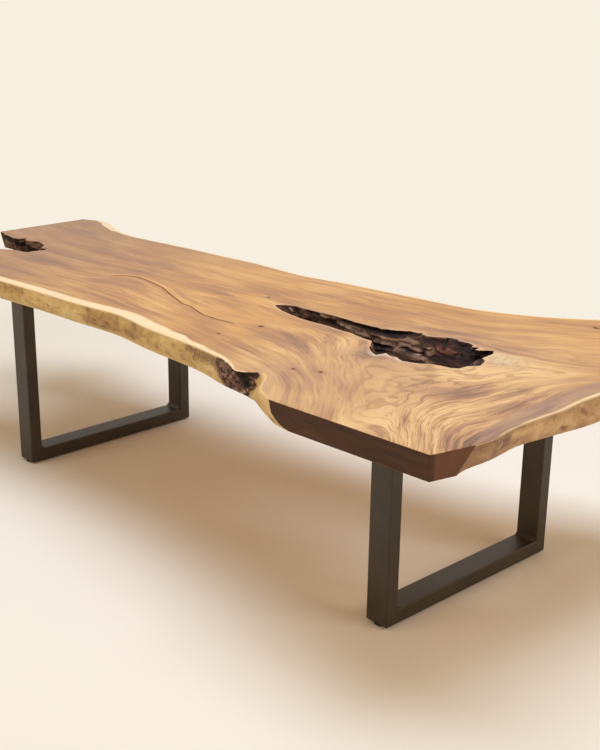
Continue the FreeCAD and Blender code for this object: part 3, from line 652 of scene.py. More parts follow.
# Grain lines drawn over the slab's face: a grain number, then points in millimetres.
GRAIN_LINES: tuple[tuple[float, tuple[Point2, ...]], ...] = (
    (-570, ((-1540, -737), (-1250, -695), (-1000, -655), (-800, -618), (-600, -600), (-400, -578),
            (-200, -560), (0, -572), (200, -578), (400, -585), (540, -605), (640, -628))),
    (-500, ((-1540, -660), (-1000, -590), (-600, -530), (-300, -500), (0, -500), (300, -525),
            (500, -545), (620, -562), (720, -566), (800, -592), (860, -640), (900, -690), (935, -737))),
    (-400, ((-1540, -560), (-1000, -500), (-600, -440), (-300, -425), (0, -435), (300, -460),
            (500, -480), (650, -500), (760, -532), (860, -590), (930, -655), (990, -730))),
    (-300, ((-1540, -470), (-1000, -400), (-700, -375), (-600, -340), (-500, -300), (-350, -290),
            (-150, -330), (50, -375), (250, -390), (450, -395), (600, -410), (720, -445),
            (830, -500), (930, -575), (1010, -650), (1070, -725))),
    (-210, ((-1060, -300), (-800, -290), (-640, -280), (-560, -235), (-470, -195), (-330, -205),
            (-200, -240), (-100, -272), (0, -285), (150, -275), (350, -252), (500, -260),
            (620, -292), (720, -350), (820, -430), (920, -520), (1010, -610), (1120, -720))),
    (-130, ((-1060, -200), (-800, -190), (-600, -170), (-450, -140), (-200, -135), (100, -115),
            (300, -122), (500, -128), (640, -135), (715, -175), (790, -240), (870, -320),
            (960, -420), (1040, -520), (1130, -630), (1200, -715))),
    (-125, ((901, -215), (960, -190), (1037, -155), (1100, -125), (1140, -60), (1188, 20),
            (1275, 85), (1380, 160), (1460, 230))),
    (-115, ((900, -310), (932, -296), (998, -276), (1060, -230), (1127, -161), (1175, -69),
            (1211, 11), (1290, 70), (1390, 140))),
    (-100, ((1500, 220), (1430, 150), (1360, 80), (1310, -10), (1267, -62), (1236, -144),
            (1213, -205), (1159, -285), (1145, -370), (1184, -456), (1278, -564), (1400, -690))),
    (-50, ((1510, 185), (1440, 120), (1371, 40), (1351, -36), (1335, -150), (1307, -290),
           (1267, -409), (1270, -483), (1340, -581), (1440, -690))),
    (0, ((1515, 140), (1450, 100), (1405, 11), (1388, -47), (1383, -152), (1371, -255),
         (1342, -415), (1333, -501), (1386, -584), (1480, -690))),
    (40, ((1465, 60), (1430, -22), (1432, -156), (1430, -286), (1425, -437), (1418, -527),
          (1445, -599), (1500, -662))),
    (80, ((1480, 60), (1452, -54), (1458, -182), (1460, -318), (1462, -460), (1472, -554),
          (1510, -625))),
    (120, ((1510, 20), (1495, -80), (1498, -207), (1500, -342), (1504, -450), (1520, -540))),
    (-20, ((-1540, -60), (-1000, -60), (-500, -30), (0, -15), (200, -10), (370, 10), (520, 22),
           (655, 35), (715, 72), (795, 90), (842, 128), (890, 140), (985, 125), (1053, 123),
           (1115, 134), (1197, 159), (1268, 164), (1339, 200), (1420, 265), (1500, 335))),
    (20, ((-1540, 0), (-1000, 0), (-500, 30), (0, 50), (300, 62), (520, 75), (700, 112), (840, 172),
          (979, 185), (1065, 205), (1148, 230), (1230, 262), (1324, 325), (1480, 450))),
    (60, ((-1540, 60), (-1000, 55), (-500, 85), (0, 105), (300, 115), (520, 125), (700, 155),
          (892, 220), (1012, 272), (1121, 335), (1238, 430), (1400, 580))),
    (100, ((-1540, 105), (-1000, 100), (-500, 130), (0, 152), (400, 185), (700, 215), (850, 270),
           (943, 325), (1051, 405), (1167, 505), (1300, 630))),
    (140, ((850, 312), (950, 375), (1060, 455), (1180, 560), (1280, 660))),
    (210, ((-1540, 190), (-1100, 185), (-780, 215), (-500, 238), (-250, 262), (0, 275), (300, 330),
           (600, 380), (780, 430), (930, 505), (1060, 590), (1160, 670), (1230, 725))),
    (290, ((-1540, 262), (-1350, 270), (-1120, 222), (-960, 232), (-780, 260), (-500, 287),
           (-280, 311), (-60, 316), (90, 350), (270, 382), (510, 422), (690, 454), (830, 516),
           (957, 596), (1063, 682), (1205, 730))),
)

# Dark surface check in the face, and the inner edge of the dark band along the near end.
CHECK_LINE: tuple[Point2, ...] = (
    (-565, -285), (-530, -240), (-500, -215), (-460, -198), (-400, -203), (-330, -212),
    (-270, -222), (-200, -250), (-100, -285), (-40, -304), (10, -306), (60, -322), (120, -338),
    (200, -335), (290, -320))
BAND_LINE: tuple[Point2, ...] = (
    (1522, -560), (1494, -503), (1469, -443), (1454, -369), (1444, -264), (1444, -175),
    (1438, -94), (1439, -25), (1440, 53), (1451, 110), (1462, 210), (1480, 300), (1530, 380))

# Width of the pale sapwood on the face at points along the rim: x, y, width.  A width below
# nothing keeps the sapwood off the face there.
SAP_WIDTHS: tuple[Point3, ...] = (
    (-1540, -737, 30), (-1200, -690, 36), (-818, -620, 40), (-574, -598, 44), (-370, -575, 46),
    (-189, -561, 46), (5, -572, 56), (124, -575, 54), (242, -580, 46), (369, -584, 30),
    (479, -594, 20), (600, -618, 15), (665, -636, 8), (724, -600, -5), (838, -704, -8),
    (925, -738, -8), (1496, -700, -4), (1526, -580, -4), (1530, -500, 0), (1524, -425, 6),
    (1519, -250, 8), (1514, -70, 10), (1516, 20, 12), (1530, 300, 16), (1500, 550, 20), (1320, 715, 22),
    (1205, 736, 20), (957, 598, 16), (690, 456, 15), (270, 384, 14), (-60, 318, 14),
    (-500, 289, 13), (-960, 234, 14), (-1180, 226, 20), (-1240, 240, 32), (-1350, 284, 42),
    (-1430, 300, 30), (-1480, 285, 8), (-1535, 262, 4), (-1540, 0, 0))


class Mark(IntEnum):
    """What a feature of the edge is coloured as; DARK also stands for painted shade in hollows, and PALE
    and GOLD for painted highlights in the void.
    """

    BARK = 0
    PALE = 1
    DARK = 2
    RED = 3
    GREY = 4
    GOLD = 5


@dataclass(frozen=True)
class Feature:
    """Knot, crack, ledge or flake that runs between two points of the edge, in millimetres."""

    mark: Mark
    start: Point3
    end: Point3
    radius: float
    force: float = 1.0
    lift: float = 0.0

    def shares(self, places: np.ndarray) -> np.ndarray:
        """Strength of the feature at places, 1 on its line.

        Args:
            places: Array of x, y, z rows in millimetres.

        Returns:
            One value for each row.
        """
        start = np.array(self.start, float)
        run = np.array(self.end, float) - start
        along = np.clip((places - start) @ run / (run @ run), 0.0, 1.0)
        gap = np.linalg.norm(places - start - along[:, None] * run, axis=1) / self.radius
        return np.exp(-1.4 * gap * gap)


# Knot, bark and cracks of the natural edge.  DARK marks are dark pin knots and cracks, and in the knot's
# deepest hollows also painted shade.
EDGE_FEATURES: tuple[Feature, ...] = (
    Feature(Mark.GREY, (352, -588, 748), (400, -592, 744), 20, 0.62, -0.5),
    Feature(Mark.GREY, (400, -594, 738), (470, -597, 740), 26, 0.70, -0.8),
    Feature(Mark.GREY, (470, -598, 746), (520, -603, 736), 24, 0.75, -0.6),
    Feature(Mark.BARK, (520, -604, 746), (548, -608, 742), 16, 0.85, 0.5),
    Feature(Mark.BARK, (545, -610, 740), (592, -624, 712), 28, 1.2, 1.5),
    Feature(Mark.BARK, (585, -622, 742), (640, -638, 745), 26, 1.1, 1.0),
    Feature(Mark.BARK, (604, -628, 702), (690, -634, 694), 26, 1.1, 1.0),
    Feature(Mark.BARK, (640, -640, 748), (660, -643, 706), 34, 1.3, 2.0),
    Feature(Mark.BARK, (690, -638, 742), (702, -624, 722), 26, 1.3, 0.0),
    Feature(Mark.BARK, (704, -618, 754), (712, -606, 748), 18, 0.9, -1.0),
    Feature(Mark.DARK, (642, -640, 757), (598, -628, 713), 4.5, 0.9, -4.0),
    Feature(Mark.DARK, (598, -628, 713), (572, -620, 704), 3.5, 0.7, -2.5),
    Feature(Mark.DARK, (520, -603, 744), (548, -608, 736), 3.5, 0.6, -2.0),
    Feature(Mark.DARK, (677, -643, 752), (692, -634, 749), 10, 0.95, -13.0),
    Feature(Mark.DARK, (686, -639, 740), (700, -630, 722), 8, 0.85, -9.0),
    Feature(Mark.DARK, (650, -642, 730), (668, -641, 712), 4, 0.5, -3.0),
    Feature(Mark.DARK, (560, -612, 724), (590, -624, 730), 3.5, 0.5, -2.5),
    Feature(Mark.PALE, (560, -614, 757), (600, -630, 757), 3.5, 0.62, 0.0),
    Feature(Mark.PALE, (704, -622, 744), (710, -612, 738), 3.5, 0.55, 2.0),
    Feature(Mark.DARK, (668, -640, 700), (700, -634, 688), 5, 0.8, -3.0),
    Feature(Mark.DARK, (618, -630, 704), (624, -630, 690), 4, 0.7, -2.5),
    Feature(Mark.PALE, (686, -633, 701), (694, -634, 696), 5, 0.95, 2.0),
    Feature(Mark.PALE, (676, -632, 692), (684, -633, 690), 4, 0.9, 1.5),
    Feature(Mark.PALE, (700, -630, 708), (704, -630, 702), 3.5, 0.7, 1.5),
    Feature(Mark.GOLD, (738, -600, 740), (800, -664, 735), 46, 1.0, 1.0),
    Feature(Mark.GOLD, (800, -668, 742), (905, -730, 735), 50, 1.0, 0.0),
    Feature(Mark.DARK, (836, -703, 755), (838, -705, 752), 3.5, 0.85, -3.0),
    Feature(Mark.DARK, (742, -610, 740), (748, -616, 736), 3.5, 0.5, -1.5),
    Feature(Mark.DARK, (-703, -633, 733), (-690, -631, 731), 3.5, 0.6, -1.0),
    Feature(Mark.DARK, (-660, -626, 746), (-656, -626, 743), 4.5, 0.9, -2.0),
    Feature(Mark.RED, (-660, -626, 740), (-600, -620, 741), 7, 0.5, -0.5),
    Feature(Mark.DARK, (-551, -615, 745), (-548, -615, 742), 3.5, 0.7, -1.0),
    Feature(Mark.DARK, (-461, -611, 722), (-455, -611, 719), 5.5, 0.9, -2.0),
    Feature(Mark.DARK, (-292, -595, 735), (-288, -595, 733), 3.0, 0.6, -1.0),
    Feature(Mark.DARK, (-233, -584, 748), (-229, -584, 745), 4.0, 0.85, -1.5),
    Feature(Mark.DARK, (-191, -582, 718), (-186, -581, 716), 5.0, 0.8, -1.5),
    Feature(Mark.RED, (-110, -568, 724), (-70, -566, 728), 9, 0.4, -0.5),
    Feature(Mark.DARK, (153, -588, 736), (160, -588, 733), 4.0, 0.75, -1.5),
    Feature(Mark.DARK, (208, -592, 722), (214, -592, 719), 4.5, 0.7, -1.5),
    Feature(Mark.DARK, (1523, -421, 758), (1520, -434, 738), 3.2, 1.0, -5.0),
    Feature(Mark.DARK, (1520, -434, 738), (1513, -438, 706), 2.8, 0.8, -4.0),
    Feature(Mark.RED, (1513, -425, 714), (1514, -380, 718), 15, 0.6, 0.5),
    Feature(Mark.GOLD, (1518, -380, 732), (1519, -262, 730), 27, 0.5, 0.0),
    Feature(Mark.RED, (1522, -74, 736), (1520, -60, 724), 15, 0.9, 1.5),
    Feature(Mark.DARK, (1522, -78, 744), (1521, -86, 722), 3.0, 0.6, -1.0),
    Feature(Mark.RED, (1520, -170, 706), (1518, -150, 700), 12, 0.9, -1.0),
    Feature(Mark.DARK, (1520, -168, 705), (1519, -160, 702), 4.5, 0.6, -1.0),
    Feature(Mark.DARK, (1519, -211, 748), (1519, -210, 734), 4.5, 0.7, -2.0),
    Feature(Mark.DARK, (1521, -158, 752), (1520, -148, 742), 4.5, 0.6, -1.5),
    Feature(Mark.DARK, (1513, -284, 742), (1513, -278, 738), 4.5, 0.6, -1.5),
    Feature(Mark.RED, (1528, -505, 742), (1522, -470, 722), 12, 0.4, 0.0),
    Feature(Mark.GREY, (1521, -560, 735), (1516, -540, 712), 12, 0.5, 0.0),
)

# Ledges, recesses, cracks and flakes of the void's walls.  DARK marks here are painted shade, near
# black, in recesses, hollows and cracks; GOLD marks are painted highlights on ridges lit from above;
# PALE marks are painted highlights on the lit edges of flakes.
VOID_FEATURES: tuple[Feature, ...] = (
    # narrow part
    Feature(Mark.PALE, (226, -24, 750), (238, -20, 742), 5, 0.75, 6.0),
    Feature(Mark.DARK, (248, -16, 751), (262, -14, 742), 6, 0.8, -6.0),
    Feature(Mark.GREY, (236, -28, 738), (262, -22, 730), 8, 0.6, 3.0),
    Feature(Mark.DARK, (300, -8, 752), (360, -3, 750), 5, 0.6, -5.0),
    Feature(Mark.GOLD, (362, -2, 751), (400, 2, 747), 5, 0.7, 4.0),
    Feature(Mark.DARK, (395, -2, 740), (436, 2, 737), 6, 0.8, -5.0),
    Feature(Mark.GREY, (436, -3, 744), (470, -2, 736), 9, 0.8, 4.0),
    Feature(Mark.PALE, (472, -2, 738), (512, -2, 734), 6, 0.62, 4.0),
    Feature(Mark.GREY, (512, -3, 732), (600, -2, 726), 8, 0.7, 4.0),
    Feature(Mark.DARK, (470, 4, 751), (600, 8, 750), 7, 0.7, -7.0),
    # recess under the far rim, painted dark as shade, and the ridge below it, painted light as a
    # highlight
    Feature(Mark.DARK, (610, 12, 752), (664, 20, 750), 9, 0.85, -12.0),
    Feature(Mark.DARK, (664, 26, 750), (712, 44, 748), 11, 0.85, -16.0),
    Feature(Mark.DARK, (712, 52, 752), (742, 70, 755), 8, 0.7, -10.0),
    Feature(Mark.GOLD, (611, 2, 736), (660, 5, 735), 6, 0.75, 5.0),
    Feature(Mark.GOLD, (660, 5, 735), (706, 20, 733), 7, 0.9, 7.0),
    Feature(Mark.GOLD, (706, 20, 733), (734, 42, 739), 8, 0.9, 7.0),
    Feature(Mark.GOLD, (734, 42, 739), (776, 76, 756), 8, 0.85, 5.0),
    # ledge with hollows below, painted black as shade
    Feature(Mark.GREY, (628, -8, 718), (712, 2, 718), 4, 0.9, 5.0),
    Feature(Mark.DARK, (636, -18, 708), (690, -10, 709), 7, 1.0, -14.0),
    Feature(Mark.DARK, (700, -6, 710), (716, -8, 704), 6, 1.0, -12.0),
    Feature(Mark.GREY, (660, -18, 701), (700, -18, 700), 4, 0.6, 4.0),
    Feature(Mark.DARK, (640, -34, 694), (700, -26, 693), 6, 1.0, -12.0),
    # brown mass with a crack and flakes
    Feature(Mark.GOLD, (728, 22, 727), (772, 46, 738), 14, 0.55, 6.0),
    Feature(Mark.GOLD, (730, 4, 715), (760, 12, 714), 12, 0.45, 5.0),
    Feature(Mark.DARK, (748, 28, 724), (772, 4, 706), 4, 1.0, -9.0),
    Feature(Mark.DARK, (772, 4, 706), (798, -16, 692), 5, 1.0, -10.0),
    Feature(Mark.PALE, (786, 34, 722), (812, 44, 727), 3.5, 0.8, 4.0),
    Feature(Mark.PALE, (816, 46, 724), (836, 54, 729), 4, 0.95, 6.0),
    Feature(Mark.PALE, (806, 12, 712), (822, 22, 707), 4, 0.9, 5.0),
    Feature(Mark.DARK, (822, 36, 720), (826, 18, 708), 4, 0.9, -7.0),
    Feature(Mark.PALE, (832, 20, 702), (838, 8, 694), 4.5, 0.9, 5.0),
    Feature(Mark.PALE, (806, 2, 700), (812, -8, 692), 4, 0.8, 5.0),
    # red-brown slopes
    Feature(Mark.RED, (838, 90, 750), (868, 60, 720), 26, 1.0, 0.0),
    Feature(Mark.RED, (880, 100, 746), (890, 40, 704), 26, 1.0, 2.0),
    Feature(Mark.RED, (920, 96, 744), (930, 52, 712), 22, 0.9, 0.0),
    Feature(Mark.DARK, (858, 108, 752), (872, 70, 726), 5, 0.6, -5.0),
    Feature(Mark.DARK, (902, 104, 752), (914, 60, 716), 5, 0.7, -6.0),
    Feature(Mark.GOLD, (800, 82, 756), (850, 108, 755), 5, 0.5, 3.0),
    # right lobes
    Feature(Mark.PALE, (930, 66, 722), (948, 74, 718), 4, 0.8, 5.0),
    Feature(Mark.PALE, (962, 92, 755), (984, 88, 751), 4, 0.9, 4.0),
    Feature(Mark.DARK, (984, 84, 746), (1000, 62, 740), 8, 0.9, -10.0),
    Feature(Mark.RED, (1000, 60, 738), (1040, 40, 740), 16, 0.8, 3.0),
    Feature(Mark.DARK, (1036, 96, 752), (1052, 84, 746), 8, 0.8, -8.0),
    Feature(Mark.DARK, (958, 44, 712), (978, 50, 712), 7, 0.9, -9.0),
    Feature(Mark.PALE, (1014, 16, 726), (1034, 22, 729), 3.5, 0.75, 4.0),
    Feature(Mark.RED, (1060, 20, 748), (1090, -30, 746), 16, 0.7, 2.0),
    # split in the far end
    Feature(Mark.DARK, (-1500, -184, 748), (-1440, -190, 742), 8, 0.7, -6.0),
    Feature(Mark.GREY, (-1500, -178, 722), (-1400, -186, 716), 12, 0.7, 3.0),
    Feature(Mark.DARK, (-1380, -200, 734), (-1340, -178, 726), 9, 0.8, -7.0),
    Feature(Mark.GREY, (-1330, -178, 742), (-1250, -168, 732), 8, 0.6, 3.0),
    Feature(Mark.DARK, (-1260, -170, 712), (-1180, -196, 716), 9, 0.8, -6.0),
)


class GrainMap:
    """Smooth field over the slab's face whose level lines are the drawn grain lines."""

    def __init__(self, lines: Sequence[tuple[float, Sequence[Point2]]], pace: float = 0.07) -> None:
        """Fit the field.

        Args:
            lines: Grain number and points in millimetres of each drawn line.
            pace: Spacing of the points that pin a line, in metres.
        """
        pins, heights = [], []
        for number, points in lines:
            pinned = self._pace_out(np.array(points, float) * MM, pace)
            pins.append(pinned)
            heights.append(np.full(len(pinned), number * MM))
        self.pins = np.concatenate(pins)
        values = np.concatenate(heights)
        count = len(self.pins)
        plate = np.hstack([np.ones((count, 1)), self.pins])
        system = np.zeros((count + 3, count + 3))
        system[:count, :count] = self._pull(self.pins) + np.eye(count) * 0.004
        system[:count, count:] = plate
        system[count:, :count] = plate.T
        self.weights = np.linalg.solve(system, np.concatenate([values, np.zeros(3)]))

    def _pace_out(self, points: np.ndarray, pace: float) -> np.ndarray:
        """Round a drawn line's corners and space its points evenly.

        Args:
            points: Array of x, y rows.
            pace: Spacing wanted.

        Returns:
            Array of x, y rows.
        """
        for _ in range(2):
            ahead = points[:-1] * 0.75 + points[1:] * 0.25
            behind = points[:-1] * 0.25 + points[1:] * 0.75
            middle = np.stack([ahead, behind], 1).reshape(-1, 2)
            points = np.vstack([points[:1], middle, points[-1:]])
        run = np.concatenate([[0.0], np.cumsum(np.hypot(*np.diff(points, axis=0).T))])
        stops = np.linspace(0.0, run[-1], max(2, int(run[-1] / pace)))
        return np.stack([np.interp(stops, run, points[:, axis]) for axis in (0, 1)], 1)

    def _pull(self, places: np.ndarray) -> np.ndarray:
        """Thin-plate term between places and pins."""
        gap = np.linalg.norm(places[:, None, :] - self.pins[None, :, :], axis=2)
        return gap ** 2 * np.log(gap + 1e-9)

    def at(self, places: np.ndarray) -> np.ndarray:
        """Grain number, in metres, at places on the face.

        Args:
            places: Array of x, y rows in metres.

        Returns:
            One value for each row.
        """
        parts = []
        for block in np.array_split(places, max(1, len(places) // 4000)):
            plate = np.hstack([np.ones((len(block), 1)), block])
            parts.append(self._pull(block) @ self.weights[:-3] + plate @ self.weights[-3:])
        return np.concatenate(parts)


def gap_to_line(places: np.ndarray, points: Sequence[Point2]) -> tuple[np.ndarray, np.ndarray]:
    """Signed distance from places to a drawn line, and how far along it they are.

    Args:
        places: Array of x, y rows in metres.
        points: Points of the line in millimetres.

    Returns:
        Distance, positive on the left of the line, and the share of its length, 0 to 1.
    """
    line = np.array(points, float) * MM
    best = np.full(len(places), 9.0)
    signed = np.zeros(len(places))
    along = np.zeros(len(places))
    run = np.concatenate([[0.0], np.cumsum(np.hypot(*np.diff(line, axis=0).T))])
    for index in range(len(line) - 1):
        start, stretch = line[index], line[index + 1] - line[index]
        share = np.clip((places - start) @ stretch / (stretch @ stretch), 0.0, 1.0)
        offset = places - (start + share[:, None] * stretch)
        gap = np.hypot(offset[:, 0], offset[:, 1])
        closer = gap < best
        side = np.sign(stretch[0] * offset[:, 1] - stretch[1] * offset[:, 0])
        best = np.where(closer, gap, best)
        signed = np.where(closer, gap * side, signed)
        along = np.where(closer, (run[index] + share * (run[index + 1] - run[index])) / run[-1], along)
    return signed, along


# ---------------------------------------------------------------- the slab

Saw = tuple[Vector, Vector]


@dataclass(frozen=True)
class Patch:
    """Level rectangle over the slab, in metres."""

    left: float
    right: float
    near: float
    far: float

    def holds(self, place: Vector) -> bool:
        """Whether a place lies in it."""
        return self.left < place.x < self.right and self.near < place.y < self.far


TOP_FACING = 0.999      # rise of a normal that counts as the top face's
WALL_FACING = 0.985     # rise of a normal below which a face is a wall's
ON_LEVEL = 0.0002       # how far from a face's height a point still lies in it

VOID_PATCH = Patch(0.17, 1.14, -0.235, 0.14)
SPLIT_PATCH = Patch(-1.5395, -1.08, -0.45, -0.15)
KNOT_PATCH = Patch(0.33, 0.86, -1.0, -0.5)


def stretched(place: Vector, x: float, y: float, z: float) -> Vector:
    """Place with each axis counted by its stretch, for relief that is finer along it."""
    return Vector((place.x * x, place.y * y, place.z * z))


def held(value: float) -> float:
    """Value held between 0 and 1."""
    return min(1.0, max(0.0, value))


def search_tree(points: Sequence[Sequence[float]]) -> KDTree:
    """Tree that finds the nearest of some points.

    Args:
        points: Places in metres.

    Returns:
        Tree whose numbers are the points' places in the order given.
    """
    tree = KDTree(len(points))
    for index, point in enumerate(points):
        tree.insert(point, index)
    tree.balance()
    return tree


def verts_and_edges(geom: Iterable) -> tuple[list[bmesh.types.BMVert], list[bmesh.types.BMEdge]]:
    """Points and edges of what a mesh operator made."""
    items = list(geom)
    return ([item for item in items if isinstance(item, bmesh.types.BMVert)],
            [item for item in items if isinstance(item, bmesh.types.BMEdge)])


@dataclass(frozen=True)
class Roughness:
    """How far each kind of relief stands out of the wood or sinks into it, in metres."""

    swell: float = 0.0030
    waver: float = 0.0011
    bark: float = 0.0036
    seam: float = 0.0026
    ledge: float = 0.0065
    lump: float = 0.0050
    plate: float = 0.0050
    crack: float = 0.0045
    shred: float = 0.0016


@dataclass
class Slab:
    """Live edge slab with its natural void, end split and sawn cuts.

    Lengths are in metres.  A pace is the spacing of a mesh's points, an ease is the radius
    of a rounded rim, and the steps are its rings as shares of that radius.  The rim turned
    beside the knot keeps its wide ease over turned_span and reaches it over turned_runs.
    The relief dies out over saw_calm toward a sawn face and over lift_depth toward a rim.
    """

    node: str = "tabletop_slab"
    weld: float = 1e-5
    settle_rounds: int = 6
    least_edge: float = 5e-5
    rim_pace: float = 0.006
    void_pace: float = 0.0038
    face_pace: float = 0.012
    under_pace: float = 0.024
    rim_bands: int = 17
    void_bands: int = 25
    live_ease: float = 0.0032
    cut_ease: float = 0.0012
    turned_ease: float = 0.011
    turned_span: tuple[float, float] = (0.712, 0.93)
    turned_runs: tuple[float, float] = (0.04, 0.05)
    top_steps: tuple[float, ...] = (0.06, 0.22, 0.50)
    low_steps: tuple[float, ...] = (0.55, 0.88, 1.0)
    finer_at_knot: float = 0.55
    clear_of_ease: float = 0.004
    housing_gap: float = 0.0005
    housing_cuts: int = 60
    saw_lines: tuple[tuple[Point2, Point2], ...] = (
        ((-1540, -460), (-1540, -700)), ((990, -733), (1490, -701)), ((1500, -685), (1522, -592)))
    saw_reach: float = 0.0004
    saw_calm: float = 0.012
    relief_shade_range: float = 0.014
    lift_depth: float = 0.008
    sharp_degrees: float = 38.0
    grain_lean: float = 0.35
    rough: Roughness = Roughness()

    def __post_init__(self) -> None:
        """Read the solid that the slab stands for."""
        self.low, self.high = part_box(self.node)
        self.source = bmesh.new()
        self.source.from_mesh(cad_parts[self.node].data)
        bmesh.ops.remove_doubles(self.source, verts=self.source.verts, dist=self.weld)
        self.source.normal_update()
        self.whole = BVHTree.FromBMesh(self.source)
        self.saws = [self._saw(*line) for line in self.saw_lines]

    def _saw(self, start: Point2, end: Point2) -> Saw:
        """Point on a sawn face and its outward normal, read at the middle of a drawn line."""
        middle = (Vector(start) + Vector(end)) / 2 * MM
        found, way, _, _ = self.whole.find_nearest(Vector((*middle, (self.low.z + self.high.z) / 2)))
        return found, Vector((way.x, way.y, 0)).normalized()

    def build(self) -> bpy.types.Object:
        """Make the slab.

        Returns:
            The slab's object, dressed and riding on the table.
        """
        void_loop, outer_loop = sorted(self._rim_loops(), key=self._span)
        shell = bmesh.new()
        for name in ("cool", "warm", "skin"):
            shell.verts.layers.float_vector.new(name)
        self._raise_walls(shell, outer_loop, self.rim_pace, self.rim_bands)
        self._raise_walls(shell, void_loop, self.void_pace, self.void_bands)
        self._part_at_saws(shell)
        bmesh.ops.dissolve_degenerate(shell, dist=self.least_edge, edges=shell.edges)
        self._mark_walls(shell)
        self._sink_housings(shell)
        self._close_face(shell, self.high.z, self.face_pace, 1)
        self._close_face(shell, self.low.z, self.under_pace, -1)
        self._draw_together(shell)
        bmesh.ops.recalc_face_normals(shell, faces=shell.faces)
        self._carve(shell)
        return self._dress(shell)

    # -- rims and walls

    def _rim_loops(self) -> list[list[Vector]]:
        """Closed rims of the top face; their walls are put in the search tree.

        Returns:
            Points of each rim, in order.
        """
        rim = [edge for edge in self.source.edges if self._on_rim(edge)]
        waiting = dict.fromkeys(rim)
        loops = []
        while waiting:
            edge = next(iter(waiting))
            del waiting[edge]
            start, here = edge.verts
            points = [start.co.copy()]
            while here is not start:
                points.append(here.co.copy())
                edge = next(other for other in here.link_edges if other in waiting)
                del waiting[edge]
                here = edge.other_vert(here)
            loops.append(points)
        self.wall_tree = self._tree_of_walls(rim)
        return loops

    def _on_rim(self, edge: bmesh.types.BMEdge) -> bool:
        """Whether an edge parts the top face from a wall."""
        flat = [face.normal.z > TOP_FACING for face in edge.link_faces]
        high = abs(edge.verts[0].co.z - self.high.z) < ON_LEVEL / 2
        return high and len(flat) == 2 and flat[0] != flat[1]

    def _tree_of_walls(self, rim: Iterable[bmesh.types.BMEdge]) -> BVHTree:
        """Search tree of the walls that hang from the rims.

        Args:
            rim: Edges between the top face and the walls.

        Returns:
            Tree of the walls' faces alone.
        """
        front = {face for edge in rim for face in edge.link_faces if face.normal.z < WALL_FACING}
        walls = set(front)
        while front:
            front = {other for face in front for edge in face.edges for other in edge.link_faces
                     if abs(other.normal.z) < WALL_FACING and other not in walls}
            walls |= front
        copy = self.source.copy()
        copy.faces.ensure_lookup_table()
        keep = {face.index for face in walls}
        bmesh.ops.delete(copy, geom=[face for face in copy.faces if face.index not in keep],
                         context="FACES")
        tree = BVHTree.FromBMesh(copy)
        copy.free()
        return tree

    def _span(self, loop: Sequence[Vector]) -> float:
        """Length of a loop along x."""
        return max(point.x for point in loop) - min(point.x for point in loop)

    def _wall_point(self, place: Vector, height: float) -> tuple[Vector, Vector]:
        """Point of the wall at a height.

        Args:
            place: Place that it is nearest to.
            height: Its height.

        Returns:
            The point, and the level way out of the wood there.
        """
        here = place.copy()
        way = Vector((0, 0, 1))
        for _ in range(self.settle_rounds):
            here.z = height
            found, way, _, _ = self.wall_tree.find_nearest(here)
            here = found.copy()
        here.z = height
        level = Vector((way.x, way.y, 0))
        return here, level.normalized() if level.length > 1e-6 else Vector((0, 0, 0))

    def _near_saw(self, place: Vector) -> bool:
        """Whether a place lies on a sawn face."""
        return any(abs((place - origin).dot(way)) < self.saw_reach * 1.5 for origin, way in self.saws)

    def _raise_walls(self, shell: bmesh.types.BMesh, loop: Sequence[Vector], pace: float,
                     levels: int) -> None:
        """Hang a wall from a rim, ring by ring.

        Args:
            shell: Mesh that takes the wall.
            loop: Points of the rim, in order.
            pace: Longest spacing of points along the rim.
            levels: Number of bands from the top to the underside.
        """
        corners = [shell.verts.new(point) for point in loop]
        groups: dict[int, list[bmesh.types.BMEdge]] = {}
        for index, corner in enumerate(corners):
            edge = shell.edges.new((corner, corners[(index + 1) % len(corners)]))
            finer = self.finer_at_knot if KNOT_PATCH.holds(corner.co) else 1.0
            groups.setdefault(int(edge.calc_length() / (pace * finer)), []).append(edge)
        for cuts, edges in groups.items():
            if cuts:
                bmesh.ops.subdivide_edges(shell, edges=edges, cuts=cuts)
        ring = [edge for edge in shell.edges if edge.is_wire]
        for vert in dict.fromkeys(vert for edge in ring for vert in edge.verts):
            self._settle(vert, 0.0)
        bands = [1.0 + index for index in range(levels)]
        for share in (*self.top_steps, *bands, *(levels + step for step in self.low_steps)):
            made = bmesh.ops.extrude_edge_only(shell, edges=ring)
            verts, ring = verts_and_edges(made["geom"])
            for vert in verts:
                self._settle(vert, share, levels)

    def _settle(self, vert: bmesh.types.BMVert, share: float, levels: int = 1) -> None:
        """Put a wall's point at its height, eased in at the top and the underside.

        Args:
            vert: Point to move.
            share: 0 to 1 across the eased rim, then one for each band, and past levels the lower rim.
            levels: Number of bands.
        """
        near, _ = self._wall_point(vert.co, self._clear(vert.co.z, self.clear_of_ease))
        ease = self._ease(near)
        thick = self.high.z - self.low.z
        if share < 1.0:
            height, drop = self.high.z - ease * share, ease * share
        elif share <= levels:
            height, drop = self.high.z - ease - (thick - 2 * ease) * (share - 1) / (levels - 1), ease
        else:
            drop = ease * (levels + 1 - share)
            height = self.low.z + drop
        place, way = self._wall_point(vert.co, height)
        inset = ease - math.sqrt(max(0.0, ease ** 2 - (ease - drop) ** 2))
        vert.co = place - way * inset

    def _clear(self, height: float, gap: float) -> float:
        """Height brought inside the slab by a gap from its top and its underside."""
        return max(min(height, self.high.z - gap), self.low.z + gap)

